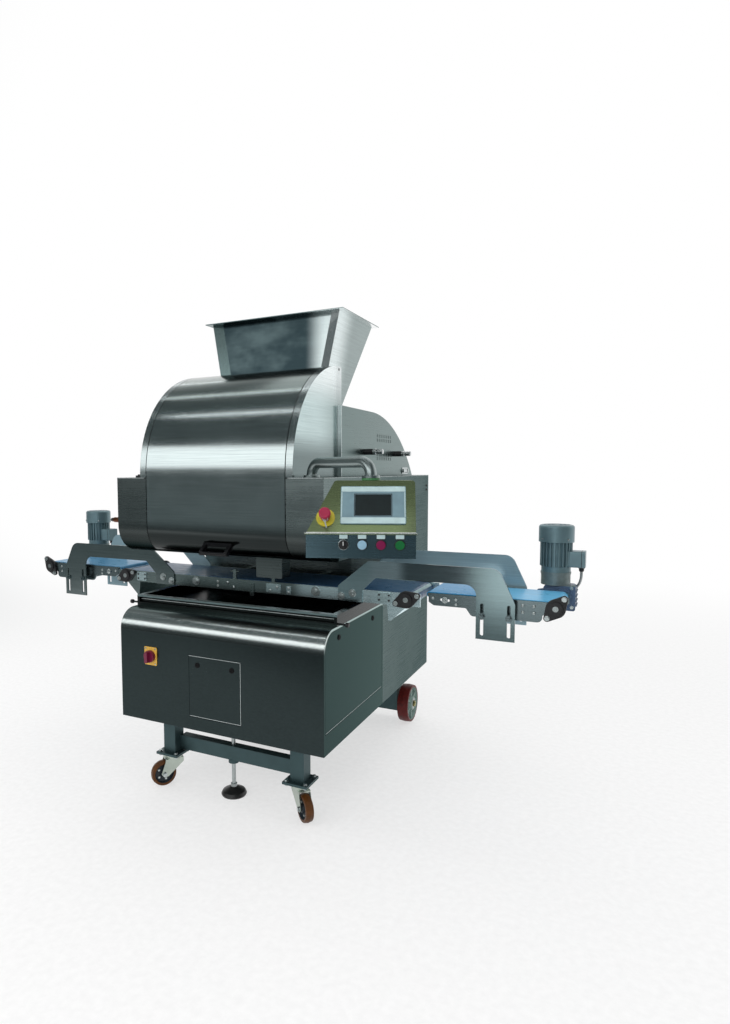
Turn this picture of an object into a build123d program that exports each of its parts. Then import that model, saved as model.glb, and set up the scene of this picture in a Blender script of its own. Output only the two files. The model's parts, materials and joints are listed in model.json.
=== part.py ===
from build123d import *
import math
import os

# Dough divider on a mobile stand, in millimetres.
# X runs along the conveyors, Y from front to back, Z up from the floor.
# Pieces are drawn from the middle of the base's front edge and moved together
# at the end, so that the origin lies under the middle of the whole machine.

# Sheet metal, clearances and the overrun of cuts
sheet = 3.0
panel_gap = 1.5
slide_gap = 0.3
run_gap = 0.05
overcut = 1.0

# Housing
machine_width = 950.0
machine_depth = 1338.0
base_depth = 630.0
base_bottom = 322.0
base_height = 458.0
throat_height = 245.0
head_height = 314.0
base_round = 80.0
head_round = 115.0
shoulder_width = 152.0
rear_cover_depth = 45.0
rear_cover_rise = 108.0
rear_cover_round = 20.0
cover_slit_width = 60.0
cover_slit_height = 8.0
cover_slit_pitch = 100.0
cover_slit_step = 40.0
cover_slit_rise = 90.0
cover_slit_columns = 5
cover_slit_rows = 4
half_width = machine_width / 2
base_top = base_bottom + base_height
throat_top = base_top + throat_height
deck_height = throat_top + head_height
seam_x = half_width - shoulder_width
rear_cover_bottom = base_bottom + rear_cover_rise

# Side service panels and front access door
side_panel_inset = 11.0
side_panel_rise = 81.0
side_panel_margin = 18.0
panel_ledge = 14.0
door_width = 243.0
door_height = 248.0
door_rise = 57.0
door_gap = 3.0
door_hinge_depth = 9.0
door_hinge_rise = 8.0
door_pin_radius = 4.0
door_knuckle = 20.0
door_knuckle_inset = 6.0
door_lug = 10.0
door_lug_reach = 8.0
door_fold = 14.0
door_fold_inset = 8.0
side_panel_bottom = base_bottom + side_panel_rise
side_panel_rear = base_depth - side_panel_margin
door_bottom = base_bottom + door_rise

# Main switch
switch_margin = 160.0
switch_rise = 278.0
switch_plate_width = 64.0
switch_plate_height = 76.0
switch_plate_thick = 3.0
switch_plate_round = 6.0
switch_shaft_radius = 6.0
switch_shaft_tail = 12.0
switch_knob_radius = 25.0
switch_knob_thick = 14.0
switch_grip_width = 14.0
switch_grip_reach = 18.0
switch_grip_round = 5.0
switch_x = switch_margin - half_width
switch_z = base_bottom + switch_rise

# Stand: legs, beams and rear axle
tube = 60.0
leg_margin = 165.0
leg_y = 135.0
flange_size = 108.0
flange_thick = 10.0
caster_height = 140.0
beam_depth = 40.0
beam_rise = 15.0
beam_boss = 15.0
beam_boss_radius = 22.0
axle_inset = 54.0
axle_radius = 12.5
axle_beam = 80.0
axle_nut = 6.0
rear_wheel_radius = 100.0
rear_wheel_width = 64.0
rear_wheel_tread = 15.0
rear_wheel_hub = 34.0
rear_wheel_ribs = 6
wheel_rib = 9.0
wheel_rib_share = 0.7
wheel_spacer = 15.0
spacer_wall = 8.0
leg_x = half_width - leg_margin
axle_y = machine_depth - axle_inset
axle_beam_half = leg_x + tube / 2
beam_low = caster_height + beam_rise

# Casters
caster_wheel_radius = 55.0
caster_wheel_width = 36.0
caster_wheel_tread = 14.0
caster_wheel_hub = 15.0
caster_trail = 48.0
caster_pin_radius = 10.0
caster_axle_radius = 6.0
caster_axle_end = 5.0
caster_disc = 36.0
fork_thick = 4.0
fork_play = 3.0
crown_play = 5.0
left_trail_angle = 233.0
right_trail_angle = -41.0

# Levelling foot
foot_x = -20.0
foot_radius = 54.0
foot_height = 34.0
foot_nut_height = 14.0
foot_nut_wall = 5.0
spindle_radius = 8.5
spindle_play = 2.0
spindle_reach = 108.0
spindle_top = base_bottom + spindle_reach

# Head: cheeks and front cover
cheek_margin = 123.0
cheek_radius = 447.0
cheek_rise = 8.0
cheek_foot = 12.0
cheek_foot_front = 60.0
cover_end_angle = 60.0
hinge_inset_y = 25.0
hinge_inset_z = 14.0
hinge_pin_radius = 6.0
hinge_boss_radius = 13.0
hinge_boss_length = 12.0
hinge_arm = 8.0
hinge_arm_inset = 6.0
handle_x = 16.0
handle_rise = 52.0
handle_half = 65.0
handle_reach = 42.0
handle_drop = 34.0
handle_bar = 8.0
handle_post = 15.0
cheek_x = half_width - cheek_margin
cheek_centre_z = deck_height + cheek_rise

# Rear hood with its grips and cooling slits
hood_margin = 105.0
hood_overlap = 42.0
hood_height = 293.0
hood_arc_y = 760.0
riser_drop = 6.0
cheek_play = 0.5
grip_rise = 108.0
grip_y = (669.0, 1077.0)
grip_length = 88.0
grip_radius = 13.5
grip_sleeve = 57.0
louvre_rises = (73.0, 93.0, 160.0, 180.0)
louvre_columns = 8
louvre_pitch = 27.0
louvre_first_y = 830.0
louvre_width = 7.0
louvre_height = 15.0
hood_x = half_width - hood_margin
hood_front = cheek_radius - hood_overlap
hood_top = deck_height + hood_height
grip_z = deck_height + grip_rise

# Dough hopper
hopper_height = 546.0
hopper_sink = 132.0
hopper_margin_top = 153.0
hopper_margin_bottom = 260.0
hopper_inset = 27.0
hopper_front_lean = 26.0
hopper_depth_bottom = 148.0
hopper_depth_top = 386.0
hopper_strip = 45.0
hopper_recess = 18.0
hopper_rim = 25.0
hopper_rim_thick = 4.0
hopper_collar = 18.0
hopper_play = 2.0
hopper_bottom = hood_top - hopper_sink
hopper_top = hopper_bottom + hopper_height
hopper_half_top = half_width - hopper_margin_top
hopper_half_bottom = half_width - hopper_margin_bottom
hopper_front_bottom = cheek_radius + hopper_inset
hopper_front_top = hopper_front_bottom + hopper_front_lean
hopper_rear_bottom = hopper_front_bottom + hopper_depth_bottom
hopper_rear_top = hopper_front_top + hopper_depth_top

# Dividing works
frame_inset = 27.0
frame_thick = 12.0
frame_front = 160.0
frame_rear = 100.0
frame_rise = 55.0
tie_radius = 15.0
tie_rise = 40.0
shaft_play = 3.0
drum_radius = 110.0
drum_end_gap = 11.0
drum_shaft_radius = 20.0
drum_setback = 48.0
drum_play = 20.0
pocket_count = 5
pocket_margin = 22.5
pocket_share = 0.4
piston_length = 150.0
piston_play = 0.08
feed_radius = 64.0
feed_end_gap = 26.0
feed_shaft_radius = 15.0
feed_inset = 4.0
feed_rise = 86.0
flute_count = 8
flute_radius = 15.0
chamber_play = 2.0
gear_module = 5.0
feed_teeth = 28
drum_teeth = 58
gear_width = 16.0
gear_gap = 3.0
shaft_end = 4.0
bearing_thick = 8.0
drum_bearing_radius = 42.0
feed_bearing_radius = 34.0
frame_x = seam_x - frame_inset
drum_half = frame_x - drum_end_gap
feed_half = frame_x - feed_end_gap
feed_front_y = hopper_front_bottom + feed_inset
feed_z = deck_height + feed_rise
drum_y = feed_front_y - drum_setback
pocket_pitch = 2 * (drum_half - pocket_margin) / pocket_count
pocket_radius = pocket_share * pocket_pitch

# Drive of the dividing works, in the left shoulder
drive_margin = 83.0
drive_half = 62.0
drive_case_reach = 85.0
drive_case_rise = 95.0
drive_case_round = 25.0
drive_neck = 25.0
drive_foot = 60.0
drive_foot_inset = 15.0
drive_motor_radius = 62.0
drive_motor_length = 330.0
drive_cowl_length = 95.0
drive_fins = 16
drive_x = drive_margin - half_width

# Central conveyor
conveyor_setback = 198.5
rail_inner = 135.5
rail_thick = 8.0
rail_height = 50.0
rail_rise = 66.0
rail_overhang = 267.0
roller_inset = 52.0
roller_rise = 26.0
roller_radius = 22.0
roller_shaft_radius = 10.0
roller_shaft_end = 16.0
roller_play = 1.0
belt_thick = 2.5
belt_side_gap = 3.0
bed_thick = 5.0
bed_setback = 60.0
cross_bar_width = 30.0
cross_bar_drop = 14.0
cross_bar_setback = 270.0
arm_bar_x = 200.0
arm_bar_width = 24.0
scraper_width = 74.0
scraper_drop = 63.0
scraper_tip = 8.0
scraper_lip = 8.0
scraper_inset = 6.0
conveyor_y = base_depth - conveyor_setback
rail_bottom = base_top + rail_rise
rail_top = rail_bottom + rail_height
rail_half = half_width + rail_overhang
roller_x = rail_half - roller_inset
roller_z = rail_bottom + roller_rise

# Junction box under the head, in front of the conveyor
junction_x = 138.0
junction_width = 120.0
junction_depth = 70.0
junction_height = 96.0
junction_round = 6.0
junction_clearance = 18.0
junction_y = conveyor_y - rail_inner - rail_thick - junction_clearance - junction_depth / 2

# Two-bolt flange bearings
flange_core = 33.0
flange_bolt_reach = 45.0
flange_ear = 12.0
flange_plate = 10.0
flange_collar = 24.0
flange_height = 16.0
flange_bolt_radius = 5.0
central_flange_tilt = 22.0
outfeed_flange_tilt = 52.0

# Guides on the front rail
guide_x = (-84.0, 108.0)
guide_post = 16.0
guide_height = 42.0
guide_rod_height = 33.0
guide_rod_half = 22.0
guide_rod_radius = 3.0
strap_x = 5.0
strap_width = 20.0
strap_thick = 4.0
strap_drop = 17.0
strap_top_inset = 12.0
strap_holes = 4
strap_hole_pitch = 14.0
strap_hole_radius = 3.5
strap_hole_rise = 8.0

# Cranked brackets that carry the outfeed conveyors
bracket_thick = 6.0
bracket_margin = 67.0
bracket_foot_width = 103.0
bracket_rise = 116.0
bracket_rear_rise = 131.0
bracket_arm = 64.5
bracket_leg_offset = 543.0
bracket_leg_width = 136.0
bracket_leg_drop = 94.0
bracket_slope = 128.0
bracket_corner_width = 58.0
bracket_corner_drop = 123.0
slot_width = 12.0
slot_length = 118.0
slot_rise = 13.0
slot_spacing = 94.0
stud_rise = 84.0
stud_radius = 5.5
stud_end = 16.0
washer_radius = 12.0
washer_thick = 3.0
nut_radius = 9.5
nut_thick = 9.0
bracket_foot_x = half_width - bracket_margin
bracket_leg_x = bracket_foot_x + bracket_leg_offset
bracket_leg_bottom = rail_bottom - bracket_leg_drop
stud_z = bracket_leg_bottom + stud_rise

# Outfeed conveyors
outfeed_gap = 26.0
outfeed_length = 450.0
outfeed_rise = 9.0
outfeed_inset = 25.0
outfeed_roller_radius = 19.0
nose_radius = 7.0
outfeed_plate = 6.0
outfeed_plate_depth = 27.0
outfeed_deep_depth = 55.0
outfeed_deep_start = 160.0
outfeed_deep_margin = 44.0
outfeed_plate_margin = 26.0
outfeed_bed_margin = 30.0
outfeed_tie_radius = 7.0
outfeed_tie_rise = 16.0
outfeed_tie_inset = 28.0
tension_slot_x = 62.0
tension_slot_drop = 4.0
tension_slot_length = 36.0
outfeed_inner_x = rail_half + outfeed_gap
outfeed_end_x = outfeed_inner_x + outfeed_length
outfeed_z = roller_z + outfeed_rise
outfeed_plate_bottom = outfeed_z - outfeed_plate_depth
outfeed_deep_bottom = outfeed_z - outfeed_deep_depth
outfeed_deep_x = (outfeed_inner_x + outfeed_deep_start, outfeed_end_x - outfeed_deep_margin)

# Gear motors of the outfeed conveyors
worm_offset = 32.0
gearbox_half = 44.0
gearbox_inner = 72.0
gearbox_depth = 78.0
gearbox_gap = 2.0
gearbox_drop = 57.0
gearbox_rise = 37.0
gearbox_round = 14.0
output_cover = 34.0
output_boss = 30.0
case_rib = 4.0
case_ribs = 4
adapter_radius = 54.0
adapter_height = 50.0
adapter_flange = 8.0
flange_start = 93.0
flange_sheet = 8.0
flange_lift = 7.0
motor_length = 116.0
motor_radius = 56.0
motor_foot = 22.0
cowl_radius = 65.0
cowl_height = 66.0
cowl_round = 10.0
cowl_rings = (48.0, 34.0, 20.0)
cowl_ring_width = 7.0
fin_count = 24
fin_depth = 6.0
fin_proud = 3.0
fin_width = 5.0
terminal_size = 62.0
terminal_reach = 50.0
terminal_sink = 14.0
terminal_rise = 52.0
terminal_round = 6.0
gland_radius = 8.0
gland_length = 16.0
gland_inset = 14.0
lead_radius = 5.0
lead_stand_off = 8.0
lead_clip_inset = 14.0
lead_drop = 128.0
gearbox_bottom = outfeed_z - gearbox_drop
gearbox_top = outfeed_z + gearbox_rise
motor_bottom = gearbox_top + adapter_height
motor_top = motor_bottom + motor_length
terminal_z = motor_bottom + terminal_rise

# Crumb tray
tray_overhang = 3.0
tray_front = 112.0
tray_margin = 8.0
tray_height = 45.0
tray_lip = 26.0
tray_groove_low = 14.0
tray_groove_high = 8.0
tray_groove_depth = 12.0
tray_knob_y = 122.0
tray_knob_reach = 44.0
tray_knob_radius = 9.0
tray_knob_length = 14.0
tray_knob_rise = 10.0
tray_stub_radius = 4.0
tray_half = half_width + tray_overhang
tray_rear = base_depth - tray_margin

# Control arm and panel
arm_margin = 70.0
arm_y = 50.0
pivot_overhang = 205.0
pivot_y = -75.0
pipe_radius = 19.0
pipe_bend = 45.0
pipe_sink = 2.0
arm_flange_radius = 30.0
arm_flange_thick = 8.0
arm_stud_radius = 12.0
arm_stud_length = 40.0
ring_thick = 8.0
panel_turn = 20.0
panel_left = 203.0
panel_left_top = 116.0
panel_right = 141.0
panel_face_drop = 165.0
panel_strip_height = 78.0
panel_lip_reach = 112.0
panel_lip = 4.0
panel_tilt = 26.0
panel_back = 38.0
panel_back_round = 12.0
panel_end_round = 10.0
hmi_width = 206.0
hmi_height = 130.0
hmi_thick = 5.0
hmi_round = 5.0
hmi_s = 8.0
hmi_rise = 96.0
screen_width = 114.0
screen_height = 72.0
screen_drop = 1.0
screen_thick = 1.0
estop_s = -142.0
estop_rise = 53.0
estop_disc_radius = 30.0
estop_disc_thick = 2.0
estop_head_radius = 19.0
estop_head_height = 16.0
estop_neck = 3.0
estop_stand = 46.0
estop_travel = 6.0
button_s = (-84.0, -25.5, 33.0, 91.5)
button_rise = 43.0
button_radius = 14.5
button_stem_radius = 9.0
button_stem_tail = 8.0
button_collar = 17.0
button_collar_height = 3.0
button_proud = 9.0
button_travel = 4.0
button_play = 1.5
selector_base = 6.0
selector_grip_width = 8.0
selector_grip_reach = 10.0
arm_x = half_width - arm_margin
pivot_x = half_width + pivot_overhang
panel_top_z = deck_height - ring_thick
panel_lip_z = panel_top_z - panel_face_drop
panel_bottom_z = panel_lip_z - panel_strip_height
button_z = panel_bottom_z + button_rise

# Electrics inside the base
electrics_margin = 95.0
electrics_rise = 55.0
electrics_height = 360.0
electrics_stand = 12.0
electrics_post_radius = 10.0
electrics_post_inset = 30.0
module_columns = 6
module_margin = 50.0
module_height = 110.0
module_rise = (40.0, 190.0)
module_depth = (90.0, 60.0)
module_width = (90.0, 70.0)


def block(x0, x1, y0, y1, z0, z1):
    """Box between two corners."""
    middle = Pos((x0 + x1) / 2, (y0 + y1) / 2, (z0 + z1) / 2)
    return middle * Box(abs(x1 - x0), abs(y1 - y0), abs(z1 - z0))


def rod_x(x0, x1, y, z, radius):
    """Round bar along X."""
    return Pos((x0 + x1) / 2, y, z) * Rot(0, 90, 0) * Cylinder(radius, abs(x1 - x0))


def rod_y(x, y0, y1, z, radius):
    """Round bar along Y."""
    return Pos(x, (y0 + y1) / 2, z) * Rot(90, 0, 0) * Cylinder(radius, abs(y1 - y0))


def rod_z(x, y, z0, z1, radius):
    """Round bar along Z."""
    return Pos(x, y, (z0 + z1) / 2) * Cylinder(radius, abs(z1 - z0))


def outline(corners):
    """Closed face from corners given as (u, v, corner radius)."""
    points = [(u, v) for u, v, _ in corners]
    radii = [r for _, _, r in corners]
    return make_face(FilletPolyline(*points, radius=radii, close=True))


def area(u0, u1, v0, v1):
    """Rectangle between two corners, as a sketch."""
    return Pos((u0 + u1) / 2, (v0 + v1) / 2) * Rectangle(abs(u1 - u0), abs(v1 - v0))


def along_x(sketch, x0, x1):
    """Extrude a sketch drawn in (Y, Z) between two X places, given in either order."""
    low, high = sorted((x0, x1))
    return extrude(Plane.YZ.offset(low) * sketch, high - low)


def along_y(sketch, y0, y1):
    """Extrude a sketch drawn in (X, Z) between two Y places, given in either order."""
    low, high = sorted((y0, y1))
    return extrude(Plane.XZ.offset(-high) * sketch, high - low)


def group(pieces):
    """Several loose solids of one kind as one node."""
    return Compound([solid for piece in pieces for solid in piece.solids()])


def mirrored(shape):
    """The same piece on the machine's other side."""
    return mirror(shape, about=Plane.YZ)


# Base cabinet

def base_outline(inset):
    return outline([
        (inset, base_bottom + inset, 0),
        (inset, base_top - inset, base_round - inset),
        (base_depth - inset, base_top - inset, 0),
        (base_depth - inset, base_bottom + inset, 0),
    ])


def side_panel_outline(inset):
    edge = side_panel_inset + inset
    return outline([
        (edge, side_panel_bottom + inset, 0),
        (edge, base_top - edge, base_round - edge),
        (side_panel_rear - inset, base_top - edge, 0),
        (side_panel_rear - inset, side_panel_bottom + inset, 0),
    ])


def door_hinge():
    """Hinge line of the access door, as (Y, Z)."""
    return door_hinge_depth, door_bottom + door_hinge_rise


def hinge_lug(side):
    """Lug behind the front sheet that takes one end of the door's pins."""
    hinge_y, hinge_z = door_hinge()
    near = side * (door_width / 2 + panel_gap + overcut)
    far = near + side * door_lug
    half = door_pin_radius + sheet + 2
    lug = block(near, far, sheet, hinge_y + door_lug_reach, hinge_z - half, hinge_z + half)
    return lug - rod_x(near - side, far + side, hinge_y, hinge_z, door_pin_radius + run_gap)


def base_housing():
    inner = half_width - sheet
    shell = along_x(base_outline(0), -half_width, half_width)
    shell -= along_x(base_outline(sheet), -inner, inner)
    ledge = side_panel_outline(-panel_gap - panel_ledge / 2) - side_panel_outline(panel_ledge)
    for x0 in (-half_width, inner):
        shell -= along_x(side_panel_outline(-panel_gap), x0, x0 + sheet)
    for x0 in (-inner, inner - sheet):
        shell += along_x(ledge, x0, x0 + sheet)
    opening = door_width / 2 + panel_gap
    shell -= block(-opening, opening, -sheet, 2 * sheet,
                   door_bottom - door_gap, door_bottom + door_height + panel_gap)
    for side in (-1, 1):
        shell += hinge_lug(side)
    shell -= rod_y(switch_x, -sheet, 2 * sheet, switch_z, switch_shaft_radius + run_gap)
    shell -= rod_z(foot_x, beam_y(), base_bottom - overcut, base_bottom + 2 * sheet, spindle_radius + spindle_play)
    return shell


def side_panel():
    return along_x(side_panel_outline(0), half_width - sheet, half_width)


def access_door():
    half = door_width / 2
    hinge_y, hinge_z = door_hinge()
    door = block(-half, half, 0, sheet, door_bottom, door_bottom + door_height)
    knuckle_half = door_pin_radius + 1
    for side in (-1, 1):
        outer_x = side * (half - door_knuckle_inset)
        inner_x = outer_x - side * door_knuckle
        pin_end = side * (half + panel_gap + door_lug)
        door += block(inner_x, outer_x, sheet, hinge_y, hinge_z - knuckle_half, hinge_z + knuckle_half)
        door += rod_x(inner_x, pin_end, hinge_y, hinge_z, door_pin_radius)
    fold_top = door_bottom + door_height - door_fold_inset
    fold_half = half - door_fold_inset
    return door + block(-fold_half, fold_half, sheet, sheet + door_fold, fold_top - sheet, fold_top)


def switch_plate():
    face = Pos(switch_x, switch_z) * RectangleRounded(switch_plate_width, switch_plate_height, switch_plate_round)
    plate = along_y(face, -switch_plate_thick, 0)
    return plate - rod_y(switch_x, -2 * switch_plate_thick, switch_plate_thick, switch_z,
                         switch_shaft_radius + run_gap)


def switch_knob():
    back = -switch_plate_thick - slide_gap
    front = back - switch_knob_thick
    grip_half = switch_knob_radius - 2
    grip = block(switch_x - switch_grip_width / 2, switch_x + switch_grip_width / 2,
                 front - switch_grip_reach, front, switch_z - grip_half, switch_z + grip_half)
    grip = fillet(grip.edges().filter_by(Axis.Y), switch_grip_round)
    knob = rod_y(switch_x, front, back, switch_z, switch_knob_radius) + grip
    return knob + rod_y(switch_x, back, sheet + switch_shaft_tail, switch_z, switch_shaft_radius)


def electrics_plate():
    """Mounting plate on four posts with two rows of modules."""
    wall = base_depth - sheet
    back = wall - electrics_stand
    face = back - sheet
    low = base_bottom + electrics_rise
    half = half_width - electrics_margin
    plate = block(-half, half, face, back, low, low + electrics_height)
    for x in (-half + electrics_post_inset, half - electrics_post_inset):
        for z in (low + electrics_post_inset, low + electrics_height - electrics_post_inset):
            plate += rod_y(x, back, wall, z, electrics_post_radius)
    pitch = (2 * half - 1.8 * module_margin) / module_columns
    for rise, depth, width in zip(module_rise, module_depth, module_width):
        for column in range(module_columns):
            x = -half + module_margin + column * pitch
            plate += block(x, x + width, face - depth, face, low + rise, low + rise + module_height)
    return plate


# Stand

def beam_y():
    """Middle of the front cross beam."""
    return leg_y + tube / 2


def undercarriage():
    flange_top = caster_height + flange_thick
    rail_low = base_bottom - tube
    wheel_out = axle_beam_half + wheel_spacer + rear_wheel_width
    frame = block(-leg_x + tube / 2, leg_x - tube / 2, beam_y() - beam_depth / 2,
                  beam_y() + beam_depth / 2, beam_low, beam_low + tube)
    frame += rod_z(foot_x, beam_y(), beam_low - beam_boss, beam_low, beam_boss_radius)
    frame += block(-axle_beam_half, axle_beam_half, axle_y - axle_beam / 2, axle_y + axle_beam / 2,
                   rear_wheel_radius - axle_beam / 2, rear_wheel_radius + axle_beam / 2)
    for side in (-1, 1):
        x = side * leg_x
        wide = (x - tube / 2, x + tube / 2)
        flange = (x - flange_size / 2, x + flange_size / 2)
        frame += block(*wide, leg_y - tube / 2, axle_y + axle_beam / 2, rail_low, base_bottom)
        frame += block(*wide, leg_y - tube / 2, leg_y + tube / 2, flange_top, rail_low)
        frame += block(*flange, leg_y - flange_size / 2, leg_y + flange_size / 2, caster_height, flange_top)
        frame += block(*wide, axle_y - axle_beam / 2, axle_y + axle_beam / 2, rear_wheel_radius, rail_low)
        frame += rod_x(side * axle_beam_half, side * (axle_beam_half + wheel_spacer - slide_gap), axle_y,
                       rear_wheel_radius, axle_radius + spacer_wall)
        frame += rod_x(side * axle_beam_half, side * (wheel_out + axle_nut), axle_y, rear_wheel_radius, axle_radius)
        frame -= rod_z(x, leg_y, caster_height - overcut, flange_top, caster_pin_radius + run_gap)
    return frame - rod_z(foot_x, beam_y(), beam_low - beam_boss - overcut, base_bottom, spindle_radius + run_gap)


def wheel_profile(radius, width, bore, rim, hub):
    """Half section of a wheel: crowned tread, thin web and thick hub, as (radius, axis)."""
    half = width / 2
    side = 0.9 * half
    web = 0.3 * half
    slope = 4
    crown = 3
    return outline([
        (bore, -half, 0),
        (hub, -half, 0),
        (hub + slope, -web, 0),
        (rim - slope, -web, 0),
        (rim, -side, 0),
        (radius - crown, -side, crown),
        (radius, 0, 0),
        (radius - crown, side, crown),
        (rim, side, 0),
        (rim - slope, web, 0),
        (hub + slope, web, 0),
        (hub, half, 0),
        (bore, half, 0),
    ])


def rear_wheel():
    """Right rear wheel with ribs from its hub to its rim."""
    rim = rear_wheel_radius - rear_wheel_tread
    section = wheel_profile(rear_wheel_radius, rear_wheel_width, axle_radius + run_gap, rim, rear_wheel_hub)
    wheel = revolve(Plane.XZ * section, Axis.Z)
    rib = block(rear_wheel_hub - 2, rim - 1, -wheel_rib / 2, wheel_rib / 2,
                -wheel_rib_share * rear_wheel_width / 2, wheel_rib_share * rear_wheel_width / 2)
    for index in range(rear_wheel_ribs):
        wheel += Rot(0, 0, index * 360 / rear_wheel_ribs) * rib
    middle = axle_beam_half + wheel_spacer + rear_wheel_width / 2
    return Pos(middle, axle_y, rear_wheel_radius) * Rot(0, 90, 0) * wheel


def caster_fork():
    """Swivel fork about its own pin, trailing along +X."""
    half = caster_wheel_width / 2 + fork_play
    outer = half + fork_thick
    disc_top = caster_height - slide_gap
    crown_low = 2 * caster_wheel_radius + crown_play
    crown_top = crown_low + fork_thick
    crown_end = caster_trail - fork_thick
    axle_z = caster_wheel_radius
    fork = rod_z(0, 0, crown_top, disc_top, caster_disc)
    fork += rod_z(0, 0, disc_top, caster_height + flange_thick - overcut, caster_pin_radius)
    fork += block(-caster_disc, crown_end, -outer, outer, crown_low, crown_top)
    arm = outline([
        (-caster_disc, crown_top, 0),
        (-caster_disc, crown_low - 14, 8),
        (caster_trail - 16, axle_z - 10, 8),
        (caster_trail + 2, axle_z - 14, 8),
        (caster_trail + 15, axle_z + 2, 8),
        (crown_end, crown_low - 4, 12),
        (crown_end, crown_top, 0),
    ])
    fork += along_y(arm, half, outer)
    fork += along_y(arm, -outer, -half)
    return fork + rod_y(caster_trail, -outer - caster_axle_end, outer + caster_axle_end, axle_z, caster_axle_radius)


def caster_wheel():
    section = wheel_profile(caster_wheel_radius, caster_wheel_width, caster_axle_radius + run_gap,
                            caster_wheel_radius - caster_wheel_tread, caster_wheel_hub)
    wheel = revolve(Plane.XZ * section, Axis.Z)
    return Pos(caster_trail, 0, caster_wheel_radius) * Rot(90, 0, 0) * wheel


def caster_place(side):
    """Where a caster stands, with its wheel trailing outwards."""
    angle = left_trail_angle if side < 0 else right_trail_angle
    return Pos(side * leg_x, leg_y, 0) * Rot(0, 0, angle)


def levelling_foot():
    """Round pad with a domed top, lock nut and threaded spindle."""
    section = outline([
        (0, 0, 0),
        (foot_radius - 3, 0, 0),
        (foot_radius, 6, 3),
        (foot_radius - 6, foot_height * 0.55, 10),
        (spindle_radius + 8, foot_height, 6),
        (0, foot_height, 0),
    ])
    pad = revolve(Plane.XZ * section, Axis.Z)
    pad += rod_z(0, 0, foot_height, foot_height + foot_nut_height, spindle_radius + foot_nut_wall)
    return Pos(foot_x, beam_y(), 0) * (pad + rod_z(0, 0, foot_height, spindle_top, spindle_radius))


# Main housing: rear column and the two shoulders of the head

def housing_outline(inset):
    return outline([
        (inset, deck_height - inset, 0),
        (inset, throat_top + inset, head_round - inset),
        (base_depth + inset, throat_top + inset, 0),
        (base_depth + inset, base_bottom + inset, 0),
        (machine_depth - inset, base_bottom + inset, 0),
        (machine_depth - inset, deck_height - inset, 0),
    ])


def cover_low():
    """Lower edge of the front cover, as (Y, Z)."""
    angle = math.radians(cover_end_angle)
    y = head_round - head_round * math.cos(angle)
    z = throat_top + head_round - head_round * math.sin(angle)
    return y, z


def deck_edge():
    """Half width of the opening in the deck between the cheeks."""
    return cheek_x - cheek_foot


def junction_box():
    half_x = junction_width / 2
    half_y = junction_depth / 2
    box = block(junction_x - half_x, junction_x + half_x, junction_y - half_y, junction_y + half_y,
                throat_top - junction_height, throat_top)
    return fillet(box.edges().filter_by(Axis.Y), junction_round)


def main_housing():
    inner = half_width - sheet
    shell = along_x(housing_outline(0), -half_width, half_width)
    shell -= along_x(housing_outline(sheet), -inner, inner)
    wall = area(sheet, drum_y - frame_front - 5, throat_top + sheet, deck_height - sheet) & housing_outline(sheet)
    for side in (-1, 1):
        shell += along_x(wall, side * seam_x, side * (seam_x + sheet))
    shell -= block(-seam_x, seam_x, -overcut, head_round + 10, cover_low()[1] - panel_gap, deck_height + overcut)
    shell -= block(-deck_edge(), deck_edge(), -overcut, machine_depth - 40,
                   deck_height - sheet - overcut, deck_height + overcut)
    drop_half = drum_half - 5
    drop_reach = drum_radius + drum_play
    shell -= block(-drop_half, drop_half, drum_y - drop_reach, drum_y + drop_reach,
                   throat_top - overcut, throat_top + sheet + overcut)
    service_half = hood_x - 20
    shell -= block(-service_half, service_half, machine_depth - sheet - overcut, machine_depth + overcut,
                   rear_cover_bottom + 20, deck_height - 40)
    return shell + junction_box()


def rear_cover():
    """Pan-shaped cover on the column's back, with rows of cooling slits."""
    outer = machine_depth + rear_cover_depth
    cover = block(-hood_x, hood_x, machine_depth, outer, rear_cover_bottom, deck_height)
    lower_edge = cover.edges().filter_by(Axis.X).group_by(Axis.Z)[0].sort_by(Axis.Y)[-1]
    cover = fillet(lower_edge, rear_cover_round)
    cover -= block(-hood_x + sheet, hood_x - sheet, machine_depth - overcut, outer - sheet,
                   rear_cover_bottom + 2 * sheet, deck_height - sheet)
    half = cover_slit_width / 2
    for row in range(cover_slit_rows):
        z = rear_cover_bottom + cover_slit_rise + row * cover_slit_step
        for column in range(cover_slit_columns):
            x = (column - (cover_slit_columns - 1) / 2) * cover_slit_pitch
            cover -= block(x - half, x + half, outer - sheet - overcut, outer + overcut, z, z + cover_slit_height)
    return cover


# Head covers

def cheek_sector(radius):
    """Quarter round of the cheeks, seen from the side, with its short foot down to the deck."""
    centre = Pos(cheek_radius, cheek_centre_z)
    quarter = area(cheek_radius - radius, cheek_radius, cheek_centre_z, cheek_centre_z + radius)
    lower = area(cheek_radius - radius, cheek_radius, deck_height, cheek_centre_z)
    return ((centre * Circle(radius)) & quarter) + lower


def cover_hinge():
    """Hinge line of the front cover, as (Y, Z)."""
    return cheek_radius - hinge_inset_y, cheek_centre_z + cheek_radius - hinge_inset_z


def cheek():
    """Right cheek: side plate, curved front flange, foot and hinge boss."""
    hinge_y, hinge_z = cover_hinge()
    inner = cheek_x - sheet
    boss = inner - hinge_boss_length
    flange = cheek_sector(cheek_radius) - cheek_sector(cheek_radius - sheet)
    plate = along_x(cheek_sector(cheek_radius), inner, cheek_x)
    plate += along_x(flange, seam_x, inner)
    plate += block(deck_edge(), inner, cheek_foot_front, cheek_radius, deck_height, deck_height + sheet)
    plate += rod_x(boss, inner, hinge_y, hinge_z, hinge_boss_radius)
    return plate - rod_x(boss - overcut, cheek_x + overcut, hinge_y, hinge_z, hinge_pin_radius + run_gap)


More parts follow.
